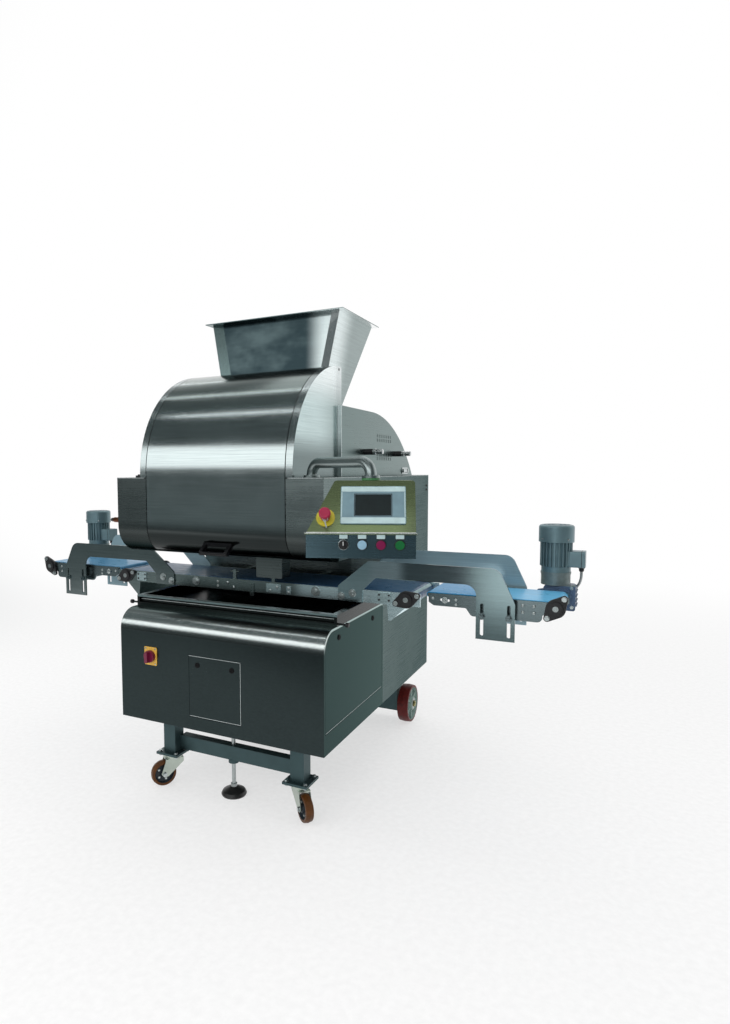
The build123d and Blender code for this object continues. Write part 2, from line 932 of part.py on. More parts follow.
def cover_band(thick):
    """Side view of the cover's curved sheet: quarter round, straight front, tucked lower edge."""
    upper = cheek_sector(cheek_radius) - cheek_sector(cheek_radius - thick)
    upper &= area(-overcut, cheek_radius - hinge_inset_y + hinge_arm, cheek_centre_z,
                  cheek_centre_z + cheek_radius + overcut)
    low_centre_z = throat_top + head_round
    front = area(0, thick, low_centre_z, cheek_centre_z)
    low_y, low_z = cover_low()
    lower = Circle(head_round) - Circle(head_round - thick)
    lower = (Pos(head_round, low_centre_z) * lower) & area(-overcut, low_y, low_z, low_centre_z)
    return upper + front + lower


def front_cover():
    half = seam_x - panel_gap
    hinge_y, hinge_z = cover_hinge()
    cover = along_x(cover_band(sheet), -half, half)
    arm = area(hinge_y - 60, hinge_y + hinge_arm, hinge_z - 10, hinge_z + 20) & cheek_sector(cheek_radius - 1)
    for side in (-1, 1):
        outer = side * (half - hinge_arm_inset)
        inner = outer - side * hinge_arm
        cover += along_x(arm, inner, outer)
        cover += rod_x(inner, side * (cheek_x - slide_gap), hinge_y, hinge_z, hinge_pin_radius)
    return cover


def cover_handle():
    """Bow handle hanging in front of the cover's tucked lower edge."""
    top_z = throat_top + handle_rise
    drop = head_round - handle_rise
    surface = head_round - math.sqrt(head_round ** 2 - drop ** 2)
    grip_front = surface - handle_reach
    grip_low = top_z - handle_drop
    root_low, root_high = top_z - 7, top_z + 9
    handle = block(-handle_half, handle_half, surface - 10, surface + 8, root_low, root_high)
    bow = outline([
        (surface, root_low, 0),
        (surface, root_high, 0),
        (grip_front, grip_low + 12, 6),
        (grip_front, grip_low - 4, 4),
        (grip_front + 13, grip_low - 4, 4),
    ])
    for side in (-1, 1):
        handle += along_x(bow, side * (handle_half - handle_post), side * handle_half)
    bar_half = handle_half - 5
    handle += rod_x(-bar_half, bar_half, grip_front + handle_bar - 1, grip_low + 3, handle_bar)
    handle -= along_x(cover_band(head_round / 2), -handle_half - overcut, handle_half + overcut)
    return Pos(handle_x, 0, 0) * handle


def hood_outline(inset):
    """Hood seen from the side: flat top running into a rear curve that ends at the deck."""
    reach = machine_depth + rear_cover_depth - hood_arc_y
    radius = (reach ** 2 + hood_height ** 2) / (2 * hood_height)
    centre = Pos(hood_arc_y, hood_top - radius)
    flat = area(hood_front, hood_arc_y, deck_height, hood_top - inset)
    curve = (centre * Circle(radius - inset)) & area(hood_arc_y, hood_arc_y + radius, deck_height, hood_top)
    return flat + curve


def hopper_at(z):
    """Half width, front and rear of the hopper's outside at one height."""
    share = (z - hopper_bottom) / hopper_height
    half = hopper_half_bottom + share * (hopper_half_top - hopper_half_bottom)
    front = hopper_front_bottom + share * (hopper_front_top - hopper_front_bottom)
    rear = hopper_rear_bottom + share * (hopper_rear_top - hopper_rear_bottom)
    return half, front, rear


def rear_hood():
    inner = hood_x - sheet
    cheek_clear = cheek_x + cheek_play
    hood = along_x(hood_outline(0), -hood_x, hood_x)
    open_front = area(hood_front - overcut, hood_front, deck_height, hood_top - sheet)
    hood -= along_x(hood_outline(sheet) + open_front, -inner, inner)
    hood -= block(-cheek_clear, cheek_clear, hood_front - overcut, cheek_radius,
                  hood_top - sheet - overcut, hood_top + overcut)
    for side in (-1, 1):
        hood += block(side * cheek_clear, side * hood_x, hood_front, hood_front + sheet, deck_height, hood_top)
    riser_half = cheek_x - sheet
    riser_top = cheek_centre_z + cheek_radius - riser_drop
    hood += block(-riser_half, riser_half, cheek_radius, cheek_radius + sheet, hood_top - sheet, riser_top)
    half, front, rear = hopper_at(hood_top)
    hood -= block(-half - hopper_play, half + hopper_play, front - sheet, rear + hopper_play,
                  hood_top - 2 * sheet, hood_top + overcut)
    for rise in louvre_rises:
        z = deck_height + rise
        for column in range(louvre_columns):
            y = louvre_first_y + column * louvre_pitch
            hood -= block(-hood_x - overcut, hood_x + overcut, y, y + louvre_width, z, z + louvre_height)
    return hood


def hood_grips():
    """Lifting grips standing out of the hood's sides: a sleeve with a turned end."""
    grips = []
    for y in grip_y:
        sleeve = rod_x(hood_x, hood_x + grip_sleeve, y, grip_z, grip_radius)
        sleeve = fillet(sleeve.edges().filter_by(GeomType.CIRCLE).sort_by(Axis.X)[-1], 3)
        end = rod_x(hood_x, hood_x + grip_length, y, grip_z, grip_radius - 2)
        end = fillet(end.edges().filter_by(GeomType.CIRCLE).sort_by(Axis.X)[-1], 4)
        grips.append(sleeve + end)
        grips.append(mirrored(sleeve + end))
    return group(grips)


def hopper_section(z, inset):
    half, front, rear = hopper_at(z)
    half -= inset
    front += inset
    rear -= inset
    return Pos(0, 0, z) * Polygon(
        (-half, front), (-half + hopper_strip, front + hopper_recess),
        (half - hopper_strip, front + hopper_recess), (half, front),
        (half, rear), (-half, rear), align=None)


def hopper():
    """Tapered hopper with a recessed front, a flat rim and a collar on the hood."""
    outside = loft([hopper_section(hopper_bottom, 0), hopper_section(hopper_top, 0)], ruled=True)
    inside = loft([hopper_section(hopper_bottom - overcut, sheet), hopper_section(hopper_top + overcut, sheet)],
                  ruled=True)
    half, front, rear = hopper_at(hopper_top)
    rim = block(-half - hopper_rim, half + hopper_rim, front - hopper_rim, rear + hopper_rim,
                hopper_top - hopper_rim_thick, hopper_top)
    half, front, rear = hopper_at(hood_top)
    collar = block(-half - hopper_collar, half + hopper_collar, max(front - sheet, cheek_radius + sheet),
                   rear + hopper_collar, hood_top, hood_top + sheet)
    return outside + rim + collar - inside


# Dividing works

def feed_rear_y():
    return feed_front_y + gear_module * feed_teeth


def drum_z():
    """Drum height that puts its gear in mesh with the front feed roller's gear."""
    centres = gear_module * (feed_teeth + drum_teeth) / 2
    return feed_z - math.sqrt(centres ** 2 - (feed_front_y - drum_y) ** 2)


def gear_x():
    """Inner face of the gears, outside the right bearing flanges."""
    return frame_x + frame_thick + bearing_thick + gear_gap


def gear(teeth, phase, y, z):
    """Straight-sided spur gear with one tooth centred on the phase angle, in radians."""
    pitch_radius = gear_module * teeth / 2
    root = pitch_radius - 1.15 * gear_module
    tip = pitch_radius + 0.8 * gear_module
    step = 2 * math.pi / teeth
    points = []
    for index in range(teeth):
        middle = phase + index * step
        for radius, spread in ((root, -0.36), (tip, -0.13), (tip, 0.13), (root, 0.36)):
            angle = middle + spread * step
            points.append((y + radius * math.cos(angle), z + radius * math.sin(angle)))
    return along_x(Polygon(*points, align=None), gear_x(), gear_x() + gear_width)


def gear_phases():
    """Tooth angles of the drum, front and rear feed gears that mesh at rest."""
    line = math.atan2(feed_z - drum_z(), feed_front_y - drum_y)
    half_step = math.pi / feed_teeth
    front = line + math.pi + half_step
    rear = math.pi - front + half_step
    return line, front, rear


def chamber_wall(side):
    """Front (-1) or rear (1) wall of the dough chamber, seen from the side."""
    nip = (feed_front_y + feed_rear_y()) / 2
    low = drum_z() + drum_radius + chamber_play + 1
    roller_low = feed_z - feed_radius
    wall = outline([
        (nip + side * 42, low, 0),
        (nip + side * 62, low, 0),
        (nip + side * 62, roller_low - 4, 0),
        (nip + side * 30, roller_low + 14, 0),
    ])
    wall -= Pos(drum_y, drum_z()) * Circle(drum_radius + chamber_play)
    for y in (feed_front_y, feed_rear_y()):
        wall -= Pos(y, feed_z) * Circle(feed_radius + chamber_play)
    return wall


def head_frame():
    """Two side plates tied by bars, with the chamber walls between feed rollers and drum."""
    low = throat_top + sheet
    top = feed_z + frame_rise
    front = drum_y - frame_front
    rear = feed_rear_y() + frame_rear
    round_end = frame_rise - tie_radius
    profile = outline([
        (front, low, 0),
        (front, drum_z() + frame_rise + tie_radius, round_end),
        (feed_front_y - feed_radius + 4, top, round_end),
        (feed_rear_y() + feed_radius - 4, top, round_end),
        (rear, drum_z() + round_end, 1.5 * round_end),
        (rear, low, 0),
    ])
    profile -= Pos(drum_y, drum_z()) * Circle(drum_shaft_radius + shaft_play)
    for y in (feed_front_y, feed_rear_y()):
        profile -= Pos(y, feed_z) * Circle(feed_shaft_radius + shaft_play)
    frame = Part()
    for side in (-1, 1):
        frame += along_x(profile, side * frame_x, side * (frame_x + frame_thick))
    ties = (
        (front + 2 * tie_radius, low + tie_rise),
        (rear - tie_rise, low + tie_rise),
        (rear - tie_radius - 5, drum_z() - tie_radius - 5),
    )
    for y, z in ties:
        frame += rod_x(-frame_x, frame_x, y, z, tie_radius)
    for side in (-1, 1):
        frame += along_x(chamber_wall(side), -frame_x, frame_x)
    return frame


def head_bearings():
    units = []
    face = frame_x + frame_thick
    outer = face + bearing_thick
    seats = [(drum_y, drum_z(), drum_shaft_radius, drum_bearing_radius)]
    seats += [(y, feed_z, feed_shaft_radius, feed_bearing_radius) for y in (feed_front_y, feed_rear_y())]
    for side in (-1, 1):
        for y, z, shaft, radius in seats:
            unit = rod_x(side * face, side * outer, y, z, radius)
            units.append(unit - rod_x(side * (face - overcut), side * (outer + overcut), y, z, shaft + run_gap))
    return group(units)


def pocket_places():
    first = -(pocket_count - 1) / 2 * pocket_pitch
    return [first + index * pocket_pitch for index in range(pocket_count)]


def dividing_drum():
    """Drum with a row of through pockets, its shaft ends and the driven gear."""
    line, _, _ = gear_phases()
    reach = drum_radius + overcut
    drum = rod_x(-drum_half, drum_half, drum_y, drum_z(), drum_radius)
    for x in pocket_places():
        drum -= rod_z(x, drum_y, drum_z() - reach, drum_z() + reach, pocket_radius)
    drum += rod_x(drum_half, gear_x() + gear_width + shaft_end, drum_y, drum_z(), drum_shaft_radius)
    drum += rod_x(drive_x - drive_half, -drum_half, drum_y, drum_z(), drum_shaft_radius)
    return drum + gear(drum_teeth, line, drum_y, drum_z())


def drum_pistons():
    low = drum_z() - piston_length / 2
    pistons = [rod_z(x, drum_y, low, low + piston_length, pocket_radius - piston_play) for x in pocket_places()]
    return group(pistons)


def feed_roller(y, phase):
    """Fluted roller with its shaft and gear."""
    section = Circle(feed_radius)
    for index in range(flute_count):
        angle = 2 * math.pi * index / flute_count
        section -= Pos(feed_radius * math.cos(angle), feed_radius * math.sin(angle)) * Circle(flute_radius)
    left_end = -frame_x - frame_thick - bearing_thick - shaft_end / 2
    roller = along_x(Pos(y, feed_z) * section, -feed_half, feed_half)
    roller += rod_x(left_end, gear_x() + gear_width + shaft_end, y, feed_z, feed_shaft_radius)
    return roller + gear(feed_teeth, phase, y, feed_z)


def drive_gearmotor():
    """Hollow-shaft gear motor on the drum's left shaft end, standing on the shoulder's floor."""
    ends = (drive_x - drive_half, drive_x + drive_half)
    z = drum_z()
    case_back = drum_y + drive_case_reach
    neck_back = case_back + drive_neck
    unit = block(*ends, drum_y - drive_case_reach, case_back, z - drive_case_rise, z + drive_case_rise)
    unit = fillet(unit.edges().filter_by(Axis.X), drive_case_round)
    unit += rod_y(drive_x, case_back, neck_back, z, drive_motor_radius)
    unit += rod_y(drive_x, neck_back, case_back + drive_motor_length, z, drive_motor_radius - fin_depth)
    fin = block(drive_motor_radius - fin_depth - 2, drive_motor_radius - 1, neck_back + 10,
                case_back + drive_motor_length - drive_cowl_length, -fin_width / 2, fin_width / 2)
    for index in range(drive_fins):
        unit += Pos(drive_x, 0, z) * Rot(0, index * 360 / drive_fins, 0) * fin
    unit += block(ends[0] + drive_foot_inset, ends[1] - drive_foot_inset, drum_y - drive_foot, drum_y + drive_foot,
                  throat_top + sheet, z - drive_case_rise + 5)
    return unit - rod_x(ends[0] - overcut, ends[1] + overcut, drum_y, z, drum_shaft_radius + run_gap)


# Central conveyor

def rail_faces(side):
    """Inner and outer face of the front (-1) or rear (1) rail."""
    return conveyor_y + side * rail_inner, conveyor_y + side * (rail_inner + rail_thick)


def belt_half():
    return rail_inner - belt_side_gap


def belt_loop(first, second, half):
    """Flat belt round two drums, each given as (x, z, radius)."""
    inner = []
    outer = []
    for x, z, radius in (first, second):
        inner += (Pos(x, z) * Circle(radius + slide_gap)).edges()
        outer += (Pos(x, z) * Circle(radius + slide_gap + belt_thick)).edges()
    return along_y(make_hull(outer) - make_hull(inner), conveyor_y - half, conveyor_y + half)


def scraper():
    """Belt scraper under the right end roller: a blade across the belt between two three-cornered cheeks."""
    front, back = rail_faces(-1)[1], rail_faces(1)[1]
    end = roller_x - scraper_inset
    start = end - scraper_width
    low = rail_bottom - scraper_drop
    blade = outline([
        (start, rail_bottom, 0),
        (start + sheet, rail_bottom, 0),
        (start + scraper_tip + sheet, low, 0),
        (start + scraper_tip, low, 0),
    ])
    cheek_face = outline([
        (start, rail_bottom, 0),
        (end, rail_bottom, 0),
        (end, rail_bottom - scraper_lip, 4),
        (start + 2 * scraper_tip, low, 4),
        (start + scraper_tip, low, 0),
    ])
    piece = along_y(blade, front, back)
    piece += along_y(cheek_face, front, front + sheet)
    return piece + along_y(cheek_face, back - sheet, back)


def conveyor_frame():
    """Rails, slider bed, cross bars, carrier arms to the column and a belt scraper at each end."""
    bed_top = roller_z + roller_radius
    bed_low = bed_top - bed_thick
    bed_half = roller_x - bed_setback
    near, far = conveyor_y - rail_inner, conveyor_y + rail_inner
    frame = block(-bed_half, bed_half, near, far, bed_low, bed_top)
    for side in (-1, 1):
        rail = block(-rail_half, rail_half, *rail_faces(side), rail_bottom, rail_top)
        for x in (-roller_x, roller_x):
            rail -= rod_y(x, *rail_faces(side), roller_z, roller_shaft_radius + shaft_play)
        frame += rail
    cross_x = roller_x - cross_bar_setback
    for x in (-cross_x, 0, cross_x):
        frame += block(x - cross_bar_width / 2, x + cross_bar_width / 2, near, far,
                       roller_z - cross_bar_drop, bed_low)
    for x in (-arm_bar_x, arm_bar_x):
        frame += block(x - arm_bar_width / 2, x + arm_bar_width / 2, rail_faces(1)[1], base_depth,
                       rail_bottom, rail_top)
    return frame + scraper() + mirrored(scraper())


def central_belt():
    return belt_loop((-roller_x, roller_z, roller_radius), (roller_x, roller_z, roller_radius), belt_half())


def conveyor_roller(x):
    half = rail_inner - roller_play
    reach = rail_inner + rail_thick + roller_shaft_end
    roller = rod_y(x, conveyor_y - half, conveyor_y + half, roller_z, roller_radius)
    return roller + rod_y(x, conveyor_y - reach, conveyor_y + reach, roller_z, roller_shaft_radius)


def flange_bearing(x, z, face, side, tilt):
    """Oval two-bolt flange bearing standing off a face to the front (-1) or rear (1)."""
    ears = [Pos(end * flange_bolt_reach, 0) for end in (-1, 1)]
    discs = [Circle(flange_core)] + [ear * Circle(flange_ear) for ear in ears]
    unit = extrude(make_hull([edge for disc in discs for edge in disc.edges()]), flange_plate)
    unit += extrude(Circle(flange_collar), flange_height)
    unit -= Cylinder(roller_shaft_radius + run_gap, 4 * flange_height)
    for ear in ears:
        unit -= ear * Cylinder(flange_bolt_radius, 4 * flange_height)
    return Pos(x, face, z) * Rot(-90 * side, 0, 0) * Rot(0, 0, tilt) * unit


def conveyor_bearings():
    units = []
    for x in (-roller_x, roller_x):
        for side in (-1, 1):
            units.append(flange_bearing(x, roller_z, rail_faces(side)[1], side, central_flange_tilt))
    return group(units)


def guide_post_at(x):
    """Clamp post on the front rail with a short guide rod."""
    front = rail_faces(-1)[1]
    post = block(x - guide_post / 2, x + guide_post / 2, front, front + rail_thick, rail_top, rail_top + guide_height)
    return post + rod_x(x - guide_rod_half, x + guide_rod_half, front + rail_thick / 2,
                        rail_top + guide_rod_height, guide_rod_radius)


def guide_strap():
    """Perforated strap on the front rail's face."""
    front = rail_faces(-1)[1]
    low = rail_bottom - strap_drop
    strap = block(strap_x - strap_width / 2, strap_x + strap_width / 2, front - strap_thick, front,
                  low, rail_top - strap_top_inset)
    for index in range(strap_holes):
        z = low + strap_hole_rise + index * strap_hole_pitch
        strap -= rod_y(strap_x, front - strap_thick - overcut, front + overcut, z, strap_hole_radius)
    return strap


def belt_guides():
    return group([guide_post_at(x) for x in guide_x] + [guide_strap()])


# Cranked brackets

def slot_places():
    middle = bracket_leg_x + bracket_leg_width / 2
    return middle - slot_spacing / 2, middle + slot_spacing / 2


def bracket_outline(bracket_top):
    """Right bracket seen from the front: foot, raised arm and slotted drop leg."""
    foot_end = bracket_foot_x + bracket_foot_width
    leg_end = bracket_leg_x + bracket_leg_width
    arm_low = bracket_top - bracket_arm
    rise = arm_low - rail_top
    shape = outline([
        (bracket_foot_x, rail_bottom, 0),
        (foot_end, rail_bottom, 0),
        (foot_end, rail_top - 4, 10),
        (foot_end + rise + 4, arm_low, 20),
        (bracket_leg_x, arm_low, 40),
        (bracket_leg_x, bracket_leg_bottom, 0),
        (leg_end, bracket_leg_bottom, 0),
        (leg_end, bracket_top - bracket_corner_drop, 20),
        (leg_end - bracket_corner_width, bracket_top, 45),
        (bracket_foot_x + bracket_slope, bracket_top, 20),
        (bracket_foot_x, rail_top + 10, 10),
    ])
    slot_middle = bracket_leg_bottom + slot_rise + slot_length / 2
    for x in slot_places():
        shape -= Pos(x, slot_middle) * Rot(0, 0, 90) * SlotOverall(slot_length, slot_width)
    return shape


def bracket(side):
    """Right bracket on the front (-1) or rear (1) rail."""
    face = rail_faces(side)[1]
    rise = bracket_rise if side < 0 else bracket_rear_rise
    return along_y(bracket_outline(rail_top + rise), face, face + side * bracket_thick)


# Outfeed conveyors, drawn on the right and mirrored for the left

def outfeed_faces(side):
    """Outer and inner face of the outfeed side plate behind the front (-1) or rear (1) bracket."""
    outer = rail_faces(side)[1] - side * outfeed_inset
    return outer, outer - side * outfeed_plate


def nose_z():
    """Height of the nose bar that keeps the belt's top run level."""
    return outfeed_z + outfeed_roller_radius - nose_radius


def outfeed_plate_outline():
    deep_start, deep_end = outfeed_deep_x
    top = outfeed_z + outfeed_roller_radius
    plate_end = outfeed_end_x + outfeed_plate_margin
    plate = outline([
        (outfeed_inner_x, outfeed_plate_bottom + 12, 6),
        (outfeed_inner_x + 20, outfeed_plate_bottom, 6),
        (deep_start - 20, outfeed_plate_bottom, 10),
        (deep_start, outfeed_deep_bottom, 14),
        (deep_end, outfeed_deep_bottom, 18),
        (deep_end, outfeed_plate_bottom, 6),
        (plate_end, outfeed_plate_bottom, 8),
        (plate_end, top, 8),
        (outfeed_inner_x, top, 4),
    ])
    tension_slot = SlotOverall(tension_slot_length, slot_width)
    plate -= Pos(outfeed_inner_x + tension_slot_x, outfeed_z - tension_slot_drop) * tension_slot
    return plate - Pos(outfeed_end_x, outfeed_z) * Circle(roller_shaft_radius + shaft_play)


def bracket_stud(x, side):
    """Stud through a bracket slot, with a spacer inside the bracket and washer and nut outside it."""
    outer, inner = outfeed_faces(side)
    bracket_inside = rail_faces(side)[1]
    face = bracket_inside + side * (bracket_thick + slide_gap)
    nut_start = face + side * washer_thick
    stud = rod_y(x, inner, face + side * stud_end, stud_z, stud_radius)
    stud += rod_y(x, outer, bracket_inside - side * slide_gap, stud_z, washer_radius)
    stud += rod_y(x, face, nut_start, stud_z, washer_radius)
    nut = Pos(x, stud_z) * RegularPolygon(nut_radius, 6)
    return stud + along_y(nut, nut_start, nut_start + side * nut_thick)


def outfeed_frame():
    """Side plates, slider bed, nose bar, ties and the studs that ride in the bracket slots."""
    bed_top = outfeed_z + outfeed_roller_radius
    near, far = outfeed_faces(-1)[1], outfeed_faces(1)[1]
    frame = Part()
    for side in (-1, 1):
        frame += along_y(outfeed_plate_outline(), *outfeed_faces(side))
        for x in slot_places():
            frame += bracket_stud(x, side)
    frame += rod_y(outfeed_inner_x, near, far, nose_z(), nose_radius)
    frame += block(outfeed_inner_x, outfeed_end_x - outfeed_bed_margin, near, far, bed_top - bed_thick, bed_top)
    for x in (outfeed_deep_x[0] + outfeed_tie_inset, outfeed_deep_x[1] - outfeed_tie_inset):
        frame += rod_y(x, near, far, outfeed_deep_bottom + outfeed_tie_rise, outfeed_tie_radius)
    return frame


def outfeed_belt():
    nose = (outfeed_inner_x, nose_z(), nose_radius)
    drum = (outfeed_end_x, outfeed_z, outfeed_roller_radius)
    near, far = outfeed_faces(-1)[1], outfeed_faces(1)[1]
    return belt_loop(nose, drum, (far - near) / 2 - belt_side_gap)


def gearbox_faces():
    """Near and far face of the worm gearbox behind the rear side plate."""
    near = rail_faces(1)[1] + bracket_thick + gearbox_gap
    return near, near + gearbox_depth


def outfeed_roller():
    near, far = outfeed_faces(-1)[1], outfeed_faces(1)[1]
    roller = rod_y(outfeed_end_x, near + roller_play, far - roller_play, outfeed_z, outfeed_roller_radius)
    return roller + rod_y(outfeed_end_x, outfeed_faces(-1)[0] - roller_shaft_end, gearbox_faces()[1] - 10,
                          outfeed_z, roller_shaft_radius)


def outfeed_bearing():
    return flange_bearing(outfeed_end_x, outfeed_z, outfeed_faces(-1)[0], -1, outfeed_flange_tilt)


def motor_axis():
    """Axis of the upright motor, as (X, Y)."""
    near, far = gearbox_faces()
    return outfeed_end_x - worm_offset, (near + far) / 2


def gearbox_flange():
    """Mounting flange on the gearbox with its raised top edge, and the boss that meets the side plate."""
    start = outfeed_end_x - flange_start
    end = outfeed_end_x + gearbox_half
    face = outline([
        (start, outfeed_plate_bottom + 20, 0),
        (start, outfeed_z + outfeed_roller_radius, 4),
        (outfeed_end_x - 6, gearbox_top, 20),
        (end, gearbox_top + flange_lift, 4),
        (end, gearbox_bottom, 8),
        (outfeed_end_x - gearbox_inner, gearbox_bottom, 8),
    ])
    near = gearbox_faces()[0]
    flange = along_y(face, near - flange_sheet, near)
    return flange + rod_y(outfeed_end_x, outfeed_faces(1)[0], near, outfeed_z, output_boss)


def outfeed_gearbox():
    """Worm gearbox: ribbed case, round output covers, motor adapter and mounting flange."""
    near, far = gearbox_faces()
    x, y = motor_axis()
    outer = outfeed_end_x + gearbox_half
    case = block(outfeed_end_x - gearbox_inner, outer, near, far, gearbox_bottom, gearbox_top)
    case = fillet(case.edges().filter_by(Axis.Y), gearbox_round)
    case += rod_y(outfeed_end_x, far, far + 2 * sheet, outfeed_z, output_cover)
    case += gearbox_flange()
    case += rod_z(x, y, gearbox_top, motor_bottom, adapter_radius)
    case += rod_z(x, y, motor_bottom - adapter_flange, motor_bottom, motor_radius)
    rib_pitch = 18
    for index in range(case_ribs):
        z = gearbox_bottom + 16 + index * rib_pitch
        case += block(outer, outer + case_rib, near + 8, far - 8, z, z + fin_width)
    bore_start = outfeed_faces(1)[0] - overcut
    return case - rod_y(outfeed_end_x, bore_start, far + overcut, outfeed_z, roller_shaft_radius + run_gap)


def motor_lead(gland_x, y, gland_low, clip_x):
    """Flexible lead from the gland, curving down behind the gearbox."""
    shift = clip_x - gland_x
    reach = gearbox_faces()[1] + lead_stand_off - y
    bends = [(0.0, 0.0, 0.0), (0.0, 0.0, 0.14), (0.1, 0.38, 0.28), (0.35, 0.85, 0.45), (0.75, 1.06, 0.64),
             (1.0, 1.0, 0.83), (1.0, 1.0, 1.0)]
    lead_points = [(gland_x + across * shift, y + back * reach, gland_low + overcut - down * lead_drop)
                   for across, back, down in bends]
    route = Spline(*lead_points, tangents=((0, 0, -1), (0, 0, -1)))
    return sweep(Plane(origin=lead_points[0], z_dir=(0, 0, -1)) * Circle(lead_radius), path=route)


def outfeed_motor(side):
    """Upright motor with cooling fins, fan cowl, terminal box and lead; the box is on +X on both sides."""
    right_x, y = motor_axis()
    x = side * right_x
    foot_top = motor_bottom + motor_foot
    motor = rod_z(x, y, motor_bottom, motor_top, motor_radius - fin_depth)
    motor += rod_z(x, y, motor_bottom, foot_top, motor_radius - 2)
    fin = block(motor_radius - fin_depth - 2, motor_radius + fin_proud, -fin_width / 2, fin_width / 2,
                foot_top, motor_top)
    for index in range(fin_count):
        motor += Pos(x, y, 0) * Rot(0, 0, index * 360 / fin_count) * fin
    cowl = Pos(x, y, motor_top) * extrude(Circle(cowl_radius), cowl_height)
    cowl = fillet(cowl.edges().group_by(Axis.Z)[-1], cowl_round)
    for radius in cowl_rings:
        ring = Circle(radius) - Circle(radius - cowl_ring_width)
        cowl -= Pos(x, y, motor_top + cowl_height - 2) * extrude(ring, 2 * overcut + 2)
    box_x = x + motor_radius
    half = terminal_size / 2
    box = block(box_x - terminal_sink, box_x + terminal_reach, y - half, y + half,
                terminal_z - half, terminal_z + half)
    box = fillet(box.edges().filter_by(Axis.X), terminal_round)
    gland_x = box_x + terminal_reach - gland_inset
    gland_low = terminal_z - half - gland_length
    gland = rod_z(gland_x, y, gland_low, terminal_z - half, gland_radius)
    case_end = outfeed_end_x + gearbox_half if side > 0 else gearbox_inner - outfeed_end_x
    lead = motor_lead(gland_x, y, gland_low, case_end - lead_clip_inset)
    return motor + cowl + box + gland + lead


# Crumb tray

def crumb_tray():
    """Shallow pan with channel edges and a stub rod for a knob on each side."""
    low = base_top + slide_gap
    top = low + tray_height
    inner = tray_half - sheet
    tray = block(-tray_half, tray_half, tray_front, tray_rear, low, top)
    tray -= block(-inner, inner, tray_front + sheet, tray_rear - sheet, low + sheet, top - sheet)
    mouth = tray_half - tray_lip
    tray -= block(-mouth, mouth, tray_front + tray_lip, tray_rear - tray_lip, low + sheet, top + overcut)
    groove = tray_half - tray_groove_depth
    tray -= block(-groove, groove, tray_front - overcut, tray_front + sheet,
                  low + tray_groove_low, top - tray_groove_high)
    back = tray_front + tray_groove_depth
    tray += block(-inner, inner, back, back + sheet, low + sheet, top - sheet)
    for side in (-1, 1):
        stub_end = side * (tray_half + tray_knob_reach - tray_knob_length)
        tray += rod_x(side * inner, stub_end, tray_knob_y, low + tray_knob_rise, tray_stub_radius)
    return tray


def tray_knobs():
    """Pull knobs butted on the ends of the tray's stub rods."""
    knobs = []
    for side in (-1, 1):
        end = side * (tray_half + tray_knob_reach)
        knob = rod_x(end - side * tray_knob_length, end, tray_knob_y,
                     base_top + slide_gap + tray_knob_rise, tray_knob_radius)
        knobs.append(fillet(knob.edges().filter_by(GeomType.CIRCLE), 3))
    return group(knobs)


# Control arm and panel

def control_arm():
    """Bent pipe from the right shoulder to the panel, with a flange at each end and a bearing stud."""
    low = deck_height + arm_flange_thick
    high = low + pipe_bend
    start = low - pipe_sink
    span = math.hypot(pivot_x - arm_x, pivot_y - arm_y)
    path = FilletPolyline((0, 0, start), (0, 0, high), (span, 0, high), (span, 0, start), radius=pipe_bend)
    pipe = sweep(Plane(origin=(0, 0, start), z_dir=(0, 0, 1)) * Circle(pipe_radius), path=path)
    for x in (0, span):
        pipe += rod_z(x, 0, deck_height, low, arm_flange_radius)
    turn = math.degrees(math.atan2(pivot_y - arm_y, pivot_x - arm_x))
    pipe = Pos(arm_x, arm_y, 0) * Rot(0, 0, turn) * pipe
    return pipe + rod_z(pivot_x, pivot_y, panel_top_z - arm_stud_length, deck_height, arm_stud_radius)


def panel_place():
    """Panel frame: origin on the pivot, X along the panel, Y to its back, turned to face the operator."""
    return Pos(pivot_x, pivot_y, 0) * Rot(0, 0, panel_turn)


def face_tilt():
    """Run-back of the sloped face from lip to top edge."""
    return panel_face_drop * math.tan(math.radians(panel_tilt))


def panel_solid(inset):
    """Console body less an all-round inset: sloped face over an upright button strip."""
    top = panel_top_z - inset
    bottom = panel_bottom_z + inset
    lip = -panel_lip_reach + inset
    back = panel_back - inset
    profile = outline([
        (lip, bottom, 0),
        (lip, panel_lip_z - inset * 0.3, 0),
        (lip + face_tilt(), top, 0),
        (back, top, panel_back_round),
        (back, bottom, panel_back_round),
    ])
    front = outline([
        (-panel_left + inset, bottom, 0),
        (panel_right - inset, bottom, 0),
        (panel_right - inset, top, panel_end_round),
        (-panel_left_top + inset, top, panel_end_round),
        (-panel_left + inset, panel_lip_z, 0),
    ])
    return along_x(profile, -panel_left, panel_right) & along_y(front, lip - overcut, back + overcut)


def on_face(s, rise):
    """Place on the sloped face: X along it, Y up it, Z out of it; rise is measured from the lip."""
    return Pos(s, -panel_lip_reach, panel_lip_z) * Rot(90 - panel_tilt, 0, 0) * Pos(0, rise, 0)


def on_strip(s):
    """Place of a button on the upright strip: Z points out of it."""
    return Pos(s, -panel_lip_reach, button_z) * Rot(90, 0, 0)


def panel_box():
    stem_hole = Cylinder(button_stem_radius + run_gap, 20)
    box = panel_solid(0) - panel_solid(sheet)
    box += block(-panel_left - panel_lip, panel_right + panel_lip, -panel_lip_reach - panel_lip, -panel_lip_reach + 1,
                 panel_lip_z - 3, panel_lip_z + 2)
    box += rod_z(0, 0, panel_top_z, deck_height - slide_gap, arm_flange_radius - 2)
    box -= rod_z(0, 0, panel_top_z - 10, deck_height, arm_stud_radius + run_gap)
    box -= on_face(estop_s, estop_rise) * stem_hole
    for s in button_s:
        box -= on_strip(s) * stem_hole
    return panel_place() * box


